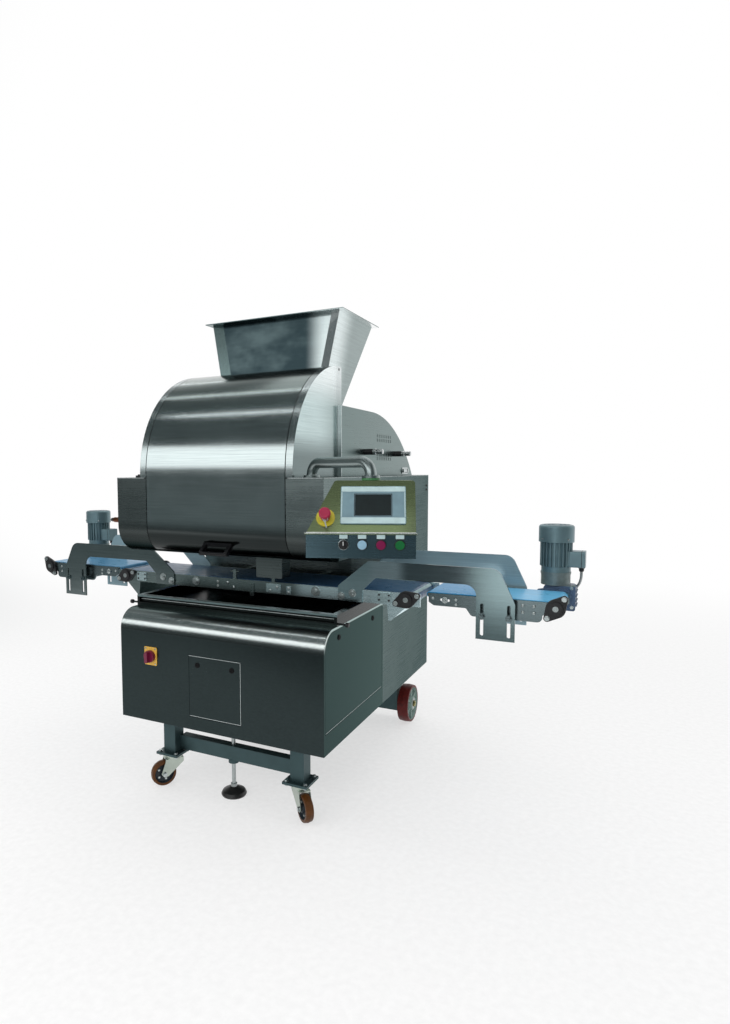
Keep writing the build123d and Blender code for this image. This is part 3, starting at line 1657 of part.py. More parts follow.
def hmi_bezel():
    bezel = extrude(RectangleRounded(hmi_width, hmi_height, hmi_round), hmi_thick)
    recess = Pos(0, 0, hmi_thick - screen_drop - screen_thick) * Rectangle(screen_width, screen_height)
    bezel -= extrude(recess, hmi_thick)
    return panel_place() * on_face(hmi_s, hmi_rise) * bezel


def hmi_screen():
    face = Pos(0, 0, hmi_thick - screen_drop - screen_thick) * Rectangle(screen_width, screen_height)
    return panel_place() * on_face(hmi_s, hmi_rise) * extrude(face, screen_thick)


def estop_button():
    """Mushroom head on its collar and stem, with travel to the disc."""
    neck_low = estop_disc_thick + estop_travel + 1
    head_low = estop_stand - estop_head_height
    neck_radius = estop_head_radius - estop_neck
    section = outline([
        (0, -button_stem_tail, 0),
        (button_stem_radius, -button_stem_tail, 0),
        (button_stem_radius, neck_low, 0),
        (neck_radius, neck_low, 0),
        (neck_radius, head_low, 0),
        (estop_head_radius, head_low + 2, 0),
        (estop_head_radius, estop_stand, 5),
        (0, estop_stand, 0),
    ])
    return panel_place() * on_face(estop_s, estop_rise) * revolve(Plane.XZ * section, Axis.Z)


def panel_trim():
    """Disc under the emergency stop and the collars round the four button units."""
    stem = Circle(button_stem_radius + run_gap)
    disc = extrude(Circle(estop_disc_radius) - stem, estop_disc_thick)
    ring = extrude(Circle(button_collar) - Circle(button_radius + 0.5), button_collar_height)
    ring += extrude(Circle(button_radius + 1) - stem, 1)
    pieces = [panel_place() * on_face(estop_s, estop_rise) * disc]
    pieces += [panel_place() * on_strip(s) * ring for s in button_s]
    return group(pieces)


def push_button(s):
    cap_low = button_travel + button_play
    cap = Pos(0, 0, cap_low) * extrude(Circle(button_radius), button_proud - cap_low)
    cap = fillet(cap.edges().group_by(Axis.Z)[-1], 1.5)
    stem = Pos(0, 0, -button_stem_tail) * extrude(Circle(button_stem_radius), button_stem_tail + cap_low + 0.5)
    return panel_place() * on_strip(s) * (cap + stem)


def selector_knob():
    grip = RectangleRounded(selector_grip_width, 2 * button_radius - 2, 3)
    knob = Pos(0, 0, button_play) * extrude(Circle(button_radius), selector_base)
    knob += Pos(0, 0, button_play + selector_base) * extrude(grip, selector_grip_reach)
    knob += Pos(0, 0, -button_stem_tail) * extrude(Circle(button_stem_radius), button_stem_tail + 2)
    return panel_place() * on_strip(button_s[0]) * knob


# Assembly: every node by name

_, front_phase, rear_phase = gear_phases()
right_parts = {
    "outfeed_frame": outfeed_frame(),
    "outfeed_belt": outfeed_belt(),
    "outfeed_roller": outfeed_roller(),
    "outfeed_bearing": outfeed_bearing(),
    "outfeed_gearbox": outfeed_gearbox(),
    "rear_wheel": rear_wheel(),
}
parts = {
    "undercarriage": undercarriage(),
    "base_housing": base_housing(),
    "access_door": access_door(),
    "switch_plate": switch_plate(),
    "switch_knob": switch_knob(),
    "electrics_plate": electrics_plate(),
    "main_housing": main_housing(),
    "rear_cover": rear_cover(),
    "front_cover": front_cover(),
    "cover_handle": cover_handle(),
    "rear_hood": rear_hood(),
    "hood_grips": hood_grips(),
    "cheeks": group([cheek(), mirrored(cheek())]),
    "side_panels": group([side_panel(), mirrored(side_panel())]),
    "hopper": hopper(),
    "head_frame": head_frame(),
    "head_bearings": head_bearings(),
    "dividing_drum": dividing_drum(),
    "drum_pistons": drum_pistons(),
    "feed_roller_front": feed_roller(feed_front_y, front_phase),
    "feed_roller_rear": feed_roller(feed_rear_y(), rear_phase),
    "drive_gearmotor": drive_gearmotor(),
    "conveyor_frame": conveyor_frame(),
    "central_belt": central_belt(),
    "conveyor_bearings": conveyor_bearings(),
    "conveyor_roller_left": conveyor_roller(-roller_x),
    "conveyor_roller_right": conveyor_roller(roller_x),
    "belt_guides": belt_guides(),
    "brackets": group([bracket(-1), bracket(1), mirrored(bracket(-1)), mirrored(bracket(1))]),
    "crumb_tray": crumb_tray(),
    "tray_knobs": tray_knobs(),
    "control_arm": control_arm(),
    "panel_box": panel_box(),
    "hmi_bezel": hmi_bezel(),
    "hmi_screen": hmi_screen(),
    "panel_trim": panel_trim(),
    "estop_button": estop_button(),
    "selector_knob": selector_knob(),
    "button_white": push_button(button_s[1]),
    "button_red": push_button(button_s[2]),
    "button_green": push_button(button_s[3]),
    "levelling_foot": levelling_foot(),
}
for name, piece in right_parts.items():
    parts[name + "_right"] = piece
    parts[name + "_left"] = mirrored(piece)
for side, word in ((-1, "left"), (1, "right")):
    parts["caster_fork_" + word] = caster_place(side) * caster_fork()
    parts["caster_wheel_" + word] = caster_place(side) * caster_wheel()
    parts["outfeed_motor_" + word] = outfeed_motor(side)

# Origin on the floor, under the middle of the machine's box
boxes = [piece.bounding_box() for piece in parts.values()]
middle_x = (min(box.min.X for box in boxes) + max(box.max.X for box in boxes)) / 2
middle_y = (min(box.min.Y for box in boxes) + max(box.max.Y for box in boxes)) / 2

os.makedirs("parts", exist_ok=True)
for name, piece in parts.items():
    export_step(Pos(-middle_x, -middle_y, 0) * piece, "parts/" + name + ".step")
print("nodes", len(parts), "shift", round(-middle_x, 3), round(-middle_y, 3))
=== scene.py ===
import json
import math
from functools import partial

import bmesh
import bpy
from mathutils import Matrix, Vector


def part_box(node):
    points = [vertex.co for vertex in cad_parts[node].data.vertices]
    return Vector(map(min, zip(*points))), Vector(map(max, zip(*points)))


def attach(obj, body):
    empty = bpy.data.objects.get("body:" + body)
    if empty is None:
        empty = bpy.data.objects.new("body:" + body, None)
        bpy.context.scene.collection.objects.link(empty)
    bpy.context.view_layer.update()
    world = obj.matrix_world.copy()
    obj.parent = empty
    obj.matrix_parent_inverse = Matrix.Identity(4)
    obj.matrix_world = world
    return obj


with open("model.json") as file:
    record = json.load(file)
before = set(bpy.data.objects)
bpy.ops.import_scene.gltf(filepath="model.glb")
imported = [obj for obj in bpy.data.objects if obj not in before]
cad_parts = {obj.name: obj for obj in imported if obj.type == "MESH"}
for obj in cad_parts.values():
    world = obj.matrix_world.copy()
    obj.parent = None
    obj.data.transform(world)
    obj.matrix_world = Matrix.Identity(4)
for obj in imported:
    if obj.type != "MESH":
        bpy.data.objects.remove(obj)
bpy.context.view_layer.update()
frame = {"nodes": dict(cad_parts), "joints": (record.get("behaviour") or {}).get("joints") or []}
nodes = frame["nodes"]

# Places are given in millimetres from the middle of the base's front edge on the floor,
# X to the right, Y to the back, Z up.
base_low, base_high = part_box("base_housing")
origin = Vector(((base_low.x + base_high.x) / 2, base_low.y, 0.0))
MM = 0.001

LEFT = (-1, 0, 0)
RIGHT = (1, 0, 0)
FRONT = (0, -1, 0)
BACK = (0, 1, 0)
UP = (0, 0, 1)
DOWN = (0, 0, -1)
SIDES = (("left", -1, LEFT), ("right", 1, RIGHT))
CORNER_TURNS = [math.radians(45 + 90 * corner) for corner in range(4)]


def at(x, y, z):
    """A point in the frame from a place in millimetres."""
    return origin + Vector((x, y, z)) * MM


def node_box(name):
    """A node's box in millimetres from the base's front edge."""
    low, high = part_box(name)
    return (low - origin) / MM, (high - origin) / MM


def node_middle(name):
    low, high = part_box(name)
    return (low + high) / 2


def joint_axis(name):
    for joint in frame["joints"]:
        if joint["name"] == name:
            return Vector(joint["axis"])
    raise KeyError(name)


def add_object(name, data):
    """A new object in the scene."""
    made = bpy.data.objects.new(name, data)
    bpy.context.scene.collection.objects.link(made)
    return made


# Camera at the photograph's viewing angle

CAMERA_PLACE = (1437.8, -2093.2, 1362.0)
CAMERA_YAW = 27.303
CAMERA_PITCH = 4.136
CAMERA_ROLL = -0.293
CAMERA_LENS = 22.94
CAMERA_SHIFT = (0.0693, 0.0063)


def add_camera():
    data = bpy.data.cameras.new("camera")
    data.lens = CAMERA_LENS
    data.shift_x, data.shift_y = CAMERA_SHIFT
    data.clip_end = 200
    camera = add_object("camera", data)
    turn = Matrix.Rotation(math.radians(CAMERA_YAW), 4, "Z")
    tilt = Matrix.Rotation(math.radians(90 - CAMERA_PITCH), 4, "X")
    roll = Matrix.Rotation(math.radians(CAMERA_ROLL), 4, "Z")
    camera.matrix_world = Matrix.Translation(at(*CAMERA_PLACE)) @ turn @ tilt @ roll
    bpy.context.scene.camera = camera


# Places that tell finishes and painted light and shade apart on one node, in millimetres

GRIP_SLEEVE = 42
TERMINAL_LOW = 989
MOTOR_LOW = 968
MOTOR_RADIUS = 60.5
MOTOR_X = 1186
MOTOR_Y = 622
GEARBOX_TOP = 918
GLAND_LOW = 973
PANEL_LIP_Z = 1166
TRIM_SPLIT_Z = 1160
FOOT_TOP = 36
CASTER_RIM = 41
REAR_RIM = 85
BASE_ROUND = 82
BASE_TOP = (764, 778)
SHOULDER_SEAM = 323
COVER_SEAL = 319.5
HOOD_FRONT = node_box("rear_hood")[0].y + 4
HOPPER_RIM = 2043

# The hopper's front panel lies ahead of this depth, which leans back by a share of the height
HOPPER_LEAN = 0.0476
HOPPER_PANEL = 450.0


# Materials

class Tree:
    """Node helpers that the materials and the world share."""

    def __init__(self, tree):
        self.tree = tree

    def node(self, kind, **settings):
        made = self.tree.nodes.new("ShaderNode" + kind)
        for key, value in settings.items():
            setattr(made, key, value)
        return made

    def link(self, source, target):
        self.tree.links.new(source, target)

    def feed(self, target, value):
        """Give a socket a constant, or link another socket to it."""
        if isinstance(value, (int, float, tuple)):
            target.default_value = value
        else:
            self.link(value, target)

    def math(self, kind, first, second=0.0):
        made = self.node("Math", operation=kind)
        self.feed(made.inputs[0], first)
        self.feed(made.inputs[1], second)
        return made.outputs["Value"]

    def opposite(self, value):
        return self.math("SUBTRACT", 1.0, value)

    def weigh(self, first, share, second):
        """Average of two values, of which the first has a share."""
        return self.math("ADD", self.math("MULTIPLY", first, share), self.math("MULTIPLY", second, 1 - share))

    def vector(self, kind, first, second=None):
        made = self.node("VectorMath", operation=kind)
        self.link(first, made.inputs[0])
        if second is not None:
            made.inputs[1].default_value = second
        return made.outputs

    def parts(self, vector):
        """X, Y and Z of a vector."""
        made = self.node("SeparateXYZ")
        self.link(vector, made.inputs["Vector"])
        return made.outputs

    def mix(self, factor, first, second):
        """Mix two colours."""
        made = self.node("Mix", data_type="RGBA")
        self.link(factor, made.inputs["Factor"])
        self.feed(made.inputs["A"], first)
        self.feed(made.inputs["B"], second)
        return made.outputs["Result"]

    def map_range(self, value, given, wanted, kind="LINEAR"):
        """Map a value from one range onto another."""
        made = self.node("MapRange", interpolation_type=kind)
        made.inputs["From Min"].default_value, made.inputs["From Max"].default_value = given
        made.inputs["To Min"].default_value, made.inputs["To Max"].default_value = wanted
        self.link(value, made.inputs["Value"])
        return made.outputs["Result"]

    def smooth(self, value, start, end, top=1.0):
        """Rise smoothly from zero at start to top at end."""
        return self.map_range(value, (start, end), (0.0, top), "SMOOTHSTEP")


class Look(Tree):
    """A material built round one Principled shader."""

    def __init__(self, name, roughness=0.5, metallic=0.0):
        self.material = bpy.data.materials.new(name)
        self.material.use_nodes = True
        super().__init__(self.material.node_tree)
        self.shader = self.tree.nodes["Principled BSDF"]
        self.set("Roughness", roughness)
        self.set("Metallic", metallic)

    def set(self, name, value):
        """Give the shader a constant."""
        self.shader.inputs[name].default_value = value

    def spot(self):
        """Object coordinates of a point, in metres."""
        return self.node("TexCoord").outputs["Object"]

    def place(self, scale):
        """Object coordinates stretched by one scale, or by one along each axis."""
        mapping = self.node("Mapping")
        mapping.inputs["Scale"].default_value = scale if isinstance(scale, tuple) else (scale, scale, scale)
        self.link(self.spot(), mapping.inputs["Vector"])
        return mapping.outputs["Vector"]

    def position(self):
        """X, Y and Z of a point, in metres."""
        return self.parts(self.spot())

    def facing(self):
        """X, Y and Z of the direction a face looks in."""
        return self.parts(self.node("NewGeometry").outputs["True Normal"])

    def outward(self):
        """Distance from the machine's middle plane, in metres."""
        return self.math("ABSOLUTE", self.math("SUBTRACT", self.position()["X"], origin.x))

    def axis_distance(self, centre, axis):
        """Distance of a point from a line through centre along axis, in metres."""
        offset = self.vector("SUBTRACT", self.spot(), centre)["Vector"]
        cross = self.vector("CROSS_PRODUCT", offset, axis)["Vector"]
        return self.vector("LENGTH", cross)["Value"]

    def noise(self, scale, detail=4.0, roughness=0.55):
        made = self.node("TexNoise")
        made.inputs["Scale"].default_value = 1.0
        made.inputs["Detail"].default_value = detail
        made.inputs["Roughness"].default_value = roughness
        self.link(self.place(scale), made.inputs["Vector"])
        return made.outputs["Fac"]

    def spread(self, value, low, high):
        """Map a noise value onto a range."""
        return self.map_range(value, (0.25, 0.75), (low, high))

    def ramp(self, value, stops):
        made = self.node("ValToRGB")
        ramp = made.color_ramp
        while len(ramp.elements) < len(stops):
            ramp.elements.new(0.5)
        for element, (position, colour) in zip(ramp.elements, stops):
            element.position = position
            element.color = (*colour, 1.0)
        self.link(value, made.inputs["Fac"])
        return made.outputs["Color"]

    def worn(self, value, colour, dark=0.84, bright=1.12):
        """One colour that drifts with a noise value."""
        return self.ramp(value, [(0.3, scaled(colour, dark)), (0.7, scaled(colour, bright))])

    def dust_and_sheen(self, value, colour):
        """One colour that turns pale in streaks: flour dust and a painted sheen."""
        pale = tuple(channel * 0.75 + 0.12 for channel in colour)
        return self.ramp(value, [(0.3, scaled(colour, 0.8)), (0.52, colour), (0.78, pale)])

    def layered(self, wear, tone, colour, layers):
        """One worn colour, with another wherever a layer's mask lies."""
        finish = wear(tone, colour)
        for mask, layer in layers:
            finish = self.mix(mask(self), finish, wear(tone, layer))
        self.colour(finish)

    def blend(self, factor, surface, glow):
        """Mix a glow into a surface."""
        made = self.node("MixShader")
        self.link(factor, made.inputs["Fac"])
        self.link(surface, made.inputs[1])
        self.link(glow.outputs["Emission"], made.inputs[2])
        return made.outputs["Shader"]

    def colour(self, socket):
        self.link(socket, self.shader.inputs["Base Color"])

    def metal(self, socket):
        self.link(socket, self.shader.inputs["Metallic"])

    def roughness(self, socket):
        self.link(socket, self.shader.inputs["Roughness"])

    def bump(self, height, strength, distance, edge=0.0):
        """Bump from a height, over a softened edge where one is asked for."""
        made = self.node("Bump")
        made.inputs["Strength"].default_value = strength
        made.inputs["Distance"].default_value = distance
        self.link(height, made.inputs["Height"])
        if edge:
            bevel = self.node("Bevel", samples=4)
            bevel.inputs["Radius"].default_value = edge
            self.link(bevel.outputs["Normal"], made.inputs["Normal"])
        self.link(made.outputs["Normal"], self.shader.inputs["Normal"])


def scaled(colour, factor):
    return tuple(min(1.0, channel * factor) for channel in colour)


# Places on a sheet that take another colour: each gives a mask, one where that colour lies

AXIS_START = {"X": origin.x, "Y": origin.y, "Z": 0.0}
SIDE_FACING = 0.6
PANEL_FACING = -0.95


def past(axis, start, end=None):
    """Beyond a place along an axis, at once or fading in from start to end."""
    first = AXIS_START[axis] + start * MM

    def mask(look):
        place = look.position()[axis]
        if end is None:
            return look.math("GREATER_THAN", place, first)
        return look.smooth(place, first, AXIS_START[axis] + end * MM)
    return mask


def short_of(axis, start, end=None):
    """Before a place along an axis, at once or fading out from start to end."""
    beyond = past(axis, start, end)

    def mask(look):
        return look.opposite(beyond(look))
    return mask


above = partial(past, "Z")
below = partial(short_of, "Z")
behind = partial(past, "Y")
ahead_of = partial(short_of, "Y")
right_of = partial(past, "X")
left_of = partial(short_of, "X")


def both(first, second):
    def mask(look):
        return look.math("MULTIPLY", first(look), second(look))
    return mask


def clouded(scale, start, end):
    """Soft patches where a noise rises from start to end."""
    def mask(look):
        return look.smooth(look.noise(scale, 3.0), start, end)
    return mask


def outside(half):
    """Farther than half from the middle plane."""
    def mask(look):
        return look.math("GREATER_THAN", look.outward(), half * MM)
    return mask


def not_sideways(look):
    """Faces that look forward, back, up or down."""
    return look.math("LESS_THAN", look.math("ABSOLUTE", look.facing()["X"]), SIDE_FACING)


def sideways(look):
    """Faces that look left or right."""
    return look.opposite(not_sideways(look))


def hopper_panel(look):
    """The hopper's front panel, set back between its slanted strips."""
    place = look.position()
    depth = look.math("SUBTRACT", look.math("SUBTRACT", place["Y"], origin.y),
                      look.math("MULTIPLY", place["Z"], HOPPER_LEAN))
    ahead = look.math("LESS_THAN", depth, HOPPER_PANEL * MM)
    return look.math("MULTIPLY", ahead, look.math("LESS_THAN", look.facing()["Y"], PANEL_FACING))


# Kinds of finish

LONG_GRAIN = (4, 420, 420)
SIDE_GRAIN = (420, 4, 420)
SHORT_GRAIN = (70, 190, 190)
UPRIGHT_GRAIN = (4, 4, 420)
DULL_SHARE = 0.68


def brushed_steel(name, colour, roughness, layers=(), rim=(1, 1, 1), grain=LONG_GRAIN, dull=None,
                  edge=0.0006):
    """Brushed sheet, with one grain on front and top faces and another on side faces.

    layers are masks with the colour that lies there; rim is the tint at grazing angles;
    grain is the noise scale on front and top faces; dull is a mask of the sheet that mirrors less."""
    look = Look(name, roughness, 1.0)
    look.set("Specular Tint", (*rim, 1.0))
    strokes = look.node("Mix", data_type="FLOAT")
    look.link(not_sideways(look), strokes.inputs["Factor"])
    look.link(look.noise(SIDE_GRAIN, 3.0), strokes.inputs["A"])
    look.link(look.noise(grain, 3.0), strokes.inputs["B"])
    strokes = strokes.outputs["Result"]
    smudge = look.noise((5, 5, 7), 6.0, 0.62)
    look.layered(look.worn, look.weigh(strokes, 0.7, smudge), colour, layers)
    look.roughness(look.spread(look.weigh(strokes, 0.45, smudge), roughness - 0.04, roughness + 0.05))
    look.bump(strokes, 0.03, 0.0004, edge)
    if dull:
        look.metal(look.opposite(look.math("MULTIPLY", dull(look), DULL_SHARE)))
    return look.material


def turned_steel(name, colour, roughness):
    """Machined round stock with fine rings and a little staining."""
    look = Look(name, roughness, 1.0)
    rings = look.noise(320, 2.0)
    look.colour(look.worn(look.noise(14, 5.0), colour, 0.82, 1.08))
    look.roughness(look.spread(rings, roughness - 0.06, roughness + 0.06))
    look.bump(rings, 0.05, 0.0003, 0.0005)
    return look.material


def plastic(name, colour, roughness, shine=0.5):
    """Moulded plastic with a fine spark grain and faint handling marks."""
    look = Look(name, roughness)
    look.set("Specular IOR Level", shine)
    marks = look.noise(25, 5.0)
    look.colour(look.worn(marks, colour, 0.86, 1.08))
    look.roughness(look.spread(marks, roughness - 0.06, roughness + 0.08))
    look.bump(look.noise(900, 2.0), 0.08, 0.0003, 0.0005)
    return look.material


def paint(name, colour, roughness, metallic=0.0):
    """Machine paint with orange peel and slight dulling."""
    look = Look(name, roughness, metallic)
    dull = look.noise(12, 6.0)
    look.colour(look.worn(dull, colour, 0.84, 1.1))
    look.roughness(look.spread(dull, roughness - 0.07, roughness + 0.1))
    look.bump(look.noise(260, 2.0), 0.1, 0.0004, 0.0008)
    return look.material


def belt_cloth(name, colour, roughness, layers=()):
    """Coated conveyor belt: fine cross weave, pale lengthwise streaks of flour dust and painted sheen."""
    look = Look(name, roughness)
    look.set("Specular IOR Level", 0.25)
    weave = look.node("TexChecker")
    weave.inputs["Scale"].default_value = 1.0
    look.link(look.place(700), weave.inputs["Vector"])
    streak = look.noise((3, 60, 60), 5.0)
    dust_and_sheen_patches = look.noise((18, 30, 18), 6.0, 0.65)
    look.layered(look.dust_and_sheen, look.weigh(streak, 0.6, dust_and_sheen_patches), colour, layers)
    look.roughness(look.spread(dust_and_sheen_patches, roughness - 0.08, roughness + 0.12))
    look.bump(weave.outputs["Fac"], 0.05, 0.0002)
    return look.material


def wheel_rubber(name, centre, axis, rim, tread, hub):
    """Tread and hub of one wheel, told apart by the distance from its axle."""
    look = Look(name, 0.42)
    look.set("Specular IOR Level", 0.3)
    outer = look.math("GREATER_THAN", look.axis_distance(centre, axis), rim * MM)
    scuff = look.noise(40, 6.0, 0.65)
    look.colour(look.mix(outer, look.worn(scuff, hub, 0.75, 1.15), look.worn(scuff, tread, 0.7, 1.25)))
    look.roughness(look.spread(scuff, 0.34, 0.55))
    look.bump(scuff, 0.12, 0.0006, 0.001)
    return look.material


def split_height(name, height, low, high, high_metal=0.0, roughness=0.4):
    """Two finishes on one piece, below and above a height in millimetres."""
    look = Look(name, roughness)
    upper = above(height)(look)
    marks = look.noise(60, 5.0)
    look.colour(look.mix(upper, look.worn(marks, low), look.worn(marks, high)))
    if high_metal:
        look.metal(look.math("MULTIPLY", upper, high_metal))
    look.roughness(look.spread(marks, roughness - 0.08, roughness + 0.06))
    look.bump(marks, 0.06, 0.0003, 0.0006)
    return look.material


def grip_look(name, sleeve, end):
    """Lifting grips: black sleeve next to the hood, bright turned end."""
    look = Look(name, 0.35)
    bright = outside(node_box("rear_hood")[1].x + GRIP_SLEEVE)(look)
    marks = look.noise(90, 4.0)
    look.colour(look.mix(bright, look.worn(marks, sleeve), look.worn(marks, end)))
    look.metal(bright)
    look.roughness(look.spread(marks, 0.25, 0.4))
    look.bump(marks, 0.05, 0.0003, 0.0006)
    return look.material


def motor_look(name, axis_x):
    """Motor paint with a black cable gland and a grey lead below the terminal box."""
    look = Look(name, 0.36)
    distance = look.axis_distance(at(axis_x, MOTOR_Y, 0), UP)
    beside = look.math("GREATER_THAN", distance, MOTOR_RADIUS * MM)
    hanging = look.math("MULTIPLY", below(TERMINAL_LOW - 0.5)(look), beside)
    lead = look.math("MAXIMUM", hanging, below(MOTOR_LOW - 1)(look))
    gland = look.math("MULTIPLY", above(GLAND_LOW)(look), lead)
    dull = look.noise(12, 6.0)
    shade = look.mix(lead, look.worn(dull, MOTOR_PAINT), look.worn(dull, LEAD_GREY))
    look.colour(look.mix(gland, shade, look.worn(dull, GLAND_BLACK)))
    look.metal(look.math("MULTIPLY", look.opposite(gland), 0.55))
    look.roughness(look.spread(dull, 0.3, 0.45))
    look.bump(look.noise(260, 2.0), 0.1, 0.0004, 0.0008)
    return look.material


def screen_glass(name, colour):
    look = Look(name, 0.12)
    look.set("Specular IOR Level", 0.2)
    look.set("Coat Weight", 0.08)
    look.set("Coat Roughness", 0.05)
    film = look.noise(30, 5.0)
    look.colour(look.worn(film, colour, 0.85, 1.15))
    look.roughness(look.spread(film, 0.16, 0.26))
    look.bump(look.noise(500, 2.0), 0.02, 0.0002)
    return look.material


# Colours that several finishes share

PALE_STEEL = (0.86, 1.0, 0.99)
COVER_SHEET = (0.4, 0.45, 0.45)
SEAL_BLACK = (0.006, 0.008, 0.008)
SIDE_RIM = (0.62, 0.74, 0.72)
DIM_RIM = (0.2, 0.24, 0.24)
# Base and cabinet sheets darkened all over: painted dark reflection of the room in front
DARK_REFLECTION_BASE_SHEET = (0.033, 0.045, 0.046)
MOTOR_PAINT = (0.17, 0.262, 0.29)
LEAD_GREY = (0.3, 0.33, 0.33)
GLAND_BLACK = (0.012, 0.012, 0.013)
CASTER_TREAD = (0.09, 0.03, 0.004)
CASTER_HUB = (0.02, 0.028, 0.035)
REAR_TREAD = (0.11, 0.008, 0.006)
REAR_HUB = (0.28, 0.38, 0.35)

# Steel sheets, all one stainless: each part's tone and its layers over height and width are painted
# reflection, highlight and shade

cabinet_steel = brushed_steel("cabinet sheet", DARK_REFLECTION_BASE_SHEET, 0.24, rim=SIDE_RIM, grain=SHORT_GRAIN)
# Base sheet: a painted highlight band on the rounded front edge, a painted reflection tone on the top,
# lighter still on its right part
base_steel = brushed_steel("base sheet", DARK_REFLECTION_BASE_SHEET, 0.22, rim=SIDE_RIM, grain=SHORT_GRAIN, layers=[
    (both(above(695, 750), both(below(*BASE_TOP), ahead_of(BASE_ROUND))), (0.64, 0.69, 0.68)),
    (above(*BASE_TOP), scaled(PALE_STEEL, 0.25)),
    (both(above(*BASE_TOP), right_of(-250, 150)), scaled(PALE_STEEL, 0.6)),
])
# Housing sheet: the right shoulder painted lighter as painted light, the lower front below the cover painted
# dark as painted shade
housing_steel = brushed_steel("housing sheet", scaled(PALE_STEEL, 0.19), 0.27, rim=DIM_RIM, layers=[
    (right_of(SHOULDER_SEAM), scaled(PALE_STEEL, 0.32)),
    (both(below(1090, 1180), ahead_of(135)), scaled(PALE_STEEL, 0.05)),
])
# Cover sheet: near black at the bottom as painted shade, darker at the top as painted dark reflection; the
# black border is the rubber seal
cover_steel = brushed_steel("cover sheet", COVER_SHEET, 0.16, layers=[
    (below(1105, 1180), (0.025, 0.03, 0.03)),
    (above(1580, 1680), (0.27, 0.32, 0.31)),
    (outside(COVER_SEAL), SEAL_BLACK),
])
# Hood: the front flange painted bright as a painted highlight, with painted shade on its lower part; the
# front of the sides painted lighter as painted light
hood_flange = both(ahead_of(HOOD_FRONT), not_sideways)
hood_steel = brushed_steel("hood sheet", (0.15, 0.21, 0.205), 0.28, dull=hood_flange, layers=[
    (hood_flange, (0.8, 0.94, 0.94)),
    (both(hood_flange, below(1410, 1530)), (0.22, 0.29, 0.29)),
    (both(ahead_of(HOOD_FRONT), sideways), (0.55, 0.63, 0.63)),
])
# Cheeks: painted shade towards the rear and on the lower part, a painted highlight at the top; the curved
# band takes the cover's tone
cheek_steel = brushed_steel("cheek sheet", (0.52, 0.64, 0.64), 0.2, dull=behind(370, 415), layers=[
    (behind(210, 410), (0.33, 0.415, 0.41)),
    (below(1410, 1530), (0.17, 0.22, 0.22)),
    (above(1600, 1770), (0.84, 0.92, 0.92)),
    (not_sideways, COVER_SHEET),
])
# Hopper: painted reflections: a bright band on the side faces, a dark left and bright right half of the front
# faces, a dark front panel with painted mottled sheen and a lighter painted band on its right, and painted
# shade on the rim above
hopper_steel = brushed_steel("hopper sheet", (0.3, 0.36, 0.355), 0.24, layers=[
    (both(sideways, ahead_of(520, 690)), (0.72, 0.8, 0.8)),
    (both(not_sideways, left_of(-2, 2)), (0.14, 0.195, 0.195)),
    (both(not_sideways, right_of(-2, 2)), (0.95, 1.0, 1.0)),
    (hopper_panel, (0.022, 0.036, 0.041)),
    (both(hopper_panel, clouded((5, 5, 8), 0.4, 0.78)), (0.07, 0.1, 0.105)),
    (both(hopper_panel, right_of(150, 262)), (0.46, 0.52, 0.52)),
    (above(HOPPER_RIM, HOPPER_RIM + 1), (0.08, 0.12, 0.12)),
])
# Brackets: tones along X are painted reflection bands, bright between x 570 and 640 and dark from 700 to 880;
# the left bracket and the rear part take painted tones of their own
bracket_steel = brushed_steel("bracket sheet", (0.2, 0.27, 0.28), 0.16, dull=behind(400), layers=[
    (left_of(880, 950), (0.15, 0.19, 0.205)),
    (left_of(640, 700), (0.5, 0.6, 0.64)),
    (left_of(520, 570), (0.4, 0.53, 0.56)),
    (left_of(0, 1), (0.27, 0.32, 0.32)),
    (behind(400), (0.34, 0.48, 0.53)),
])
# Console: painted shade on the left, right and upper parts of the face, a painted highlight along the lip and
# painted shade on the strip below it
console_steel = brushed_steel("console sheet", (0.3, 0.38, 0.19), 0.26, grain=UPRIGHT_GRAIN, layers=[
    (left_of(575, 640), (0.2, 0.25, 0.13)),
    (right_of(790, 850), (0.2, 0.25, 0.14)),
    (above(1190, 1270), (0.17, 0.215, 0.11)),
    (both(below(PANEL_LIP_Z + 4, PANEL_LIP_Z + 5), above(PANEL_LIP_Z - 1, PANEL_LIP_Z)), (0.88, 0.9, 0.86)),
    (below(PANEL_LIP_Z - 4, PANEL_LIP_Z - 3), (0.105, 0.17, 0.2)),
])
# Rail bars darker to the left of x 190 to 260: painted shade
rail_steel = brushed_steel("rail bar", (0.7, 0.86, 0.9), 0.26, [(left_of(190, 260), (0.22, 0.275, 0.27))])
plate_steel = brushed_steel("bright plate", (0.6, 0.74, 0.76), 0.26)
outfeed_steel = brushed_steel("outfeed plate", (0.18, 0.225, 0.235), 0.26)
# The crumb tray darkened all over: painted shade under the head
shaded_tray_steel = brushed_steel("shaded tray sheet", scaled(PALE_STEEL, 0.035), 0.27)
tube_steel = brushed_steel("bent tube", scaled(PALE_STEEL, 0.36), 0.3, edge=0.001)

# Other metals, paints, plastics and belts

# The tray's front flange in a lighter tone than the tray's painted shade: painted light on the lit flange
tray_edge = paint("tray edge", (0.11, 0.165, 0.17), 0.35, 0.2)
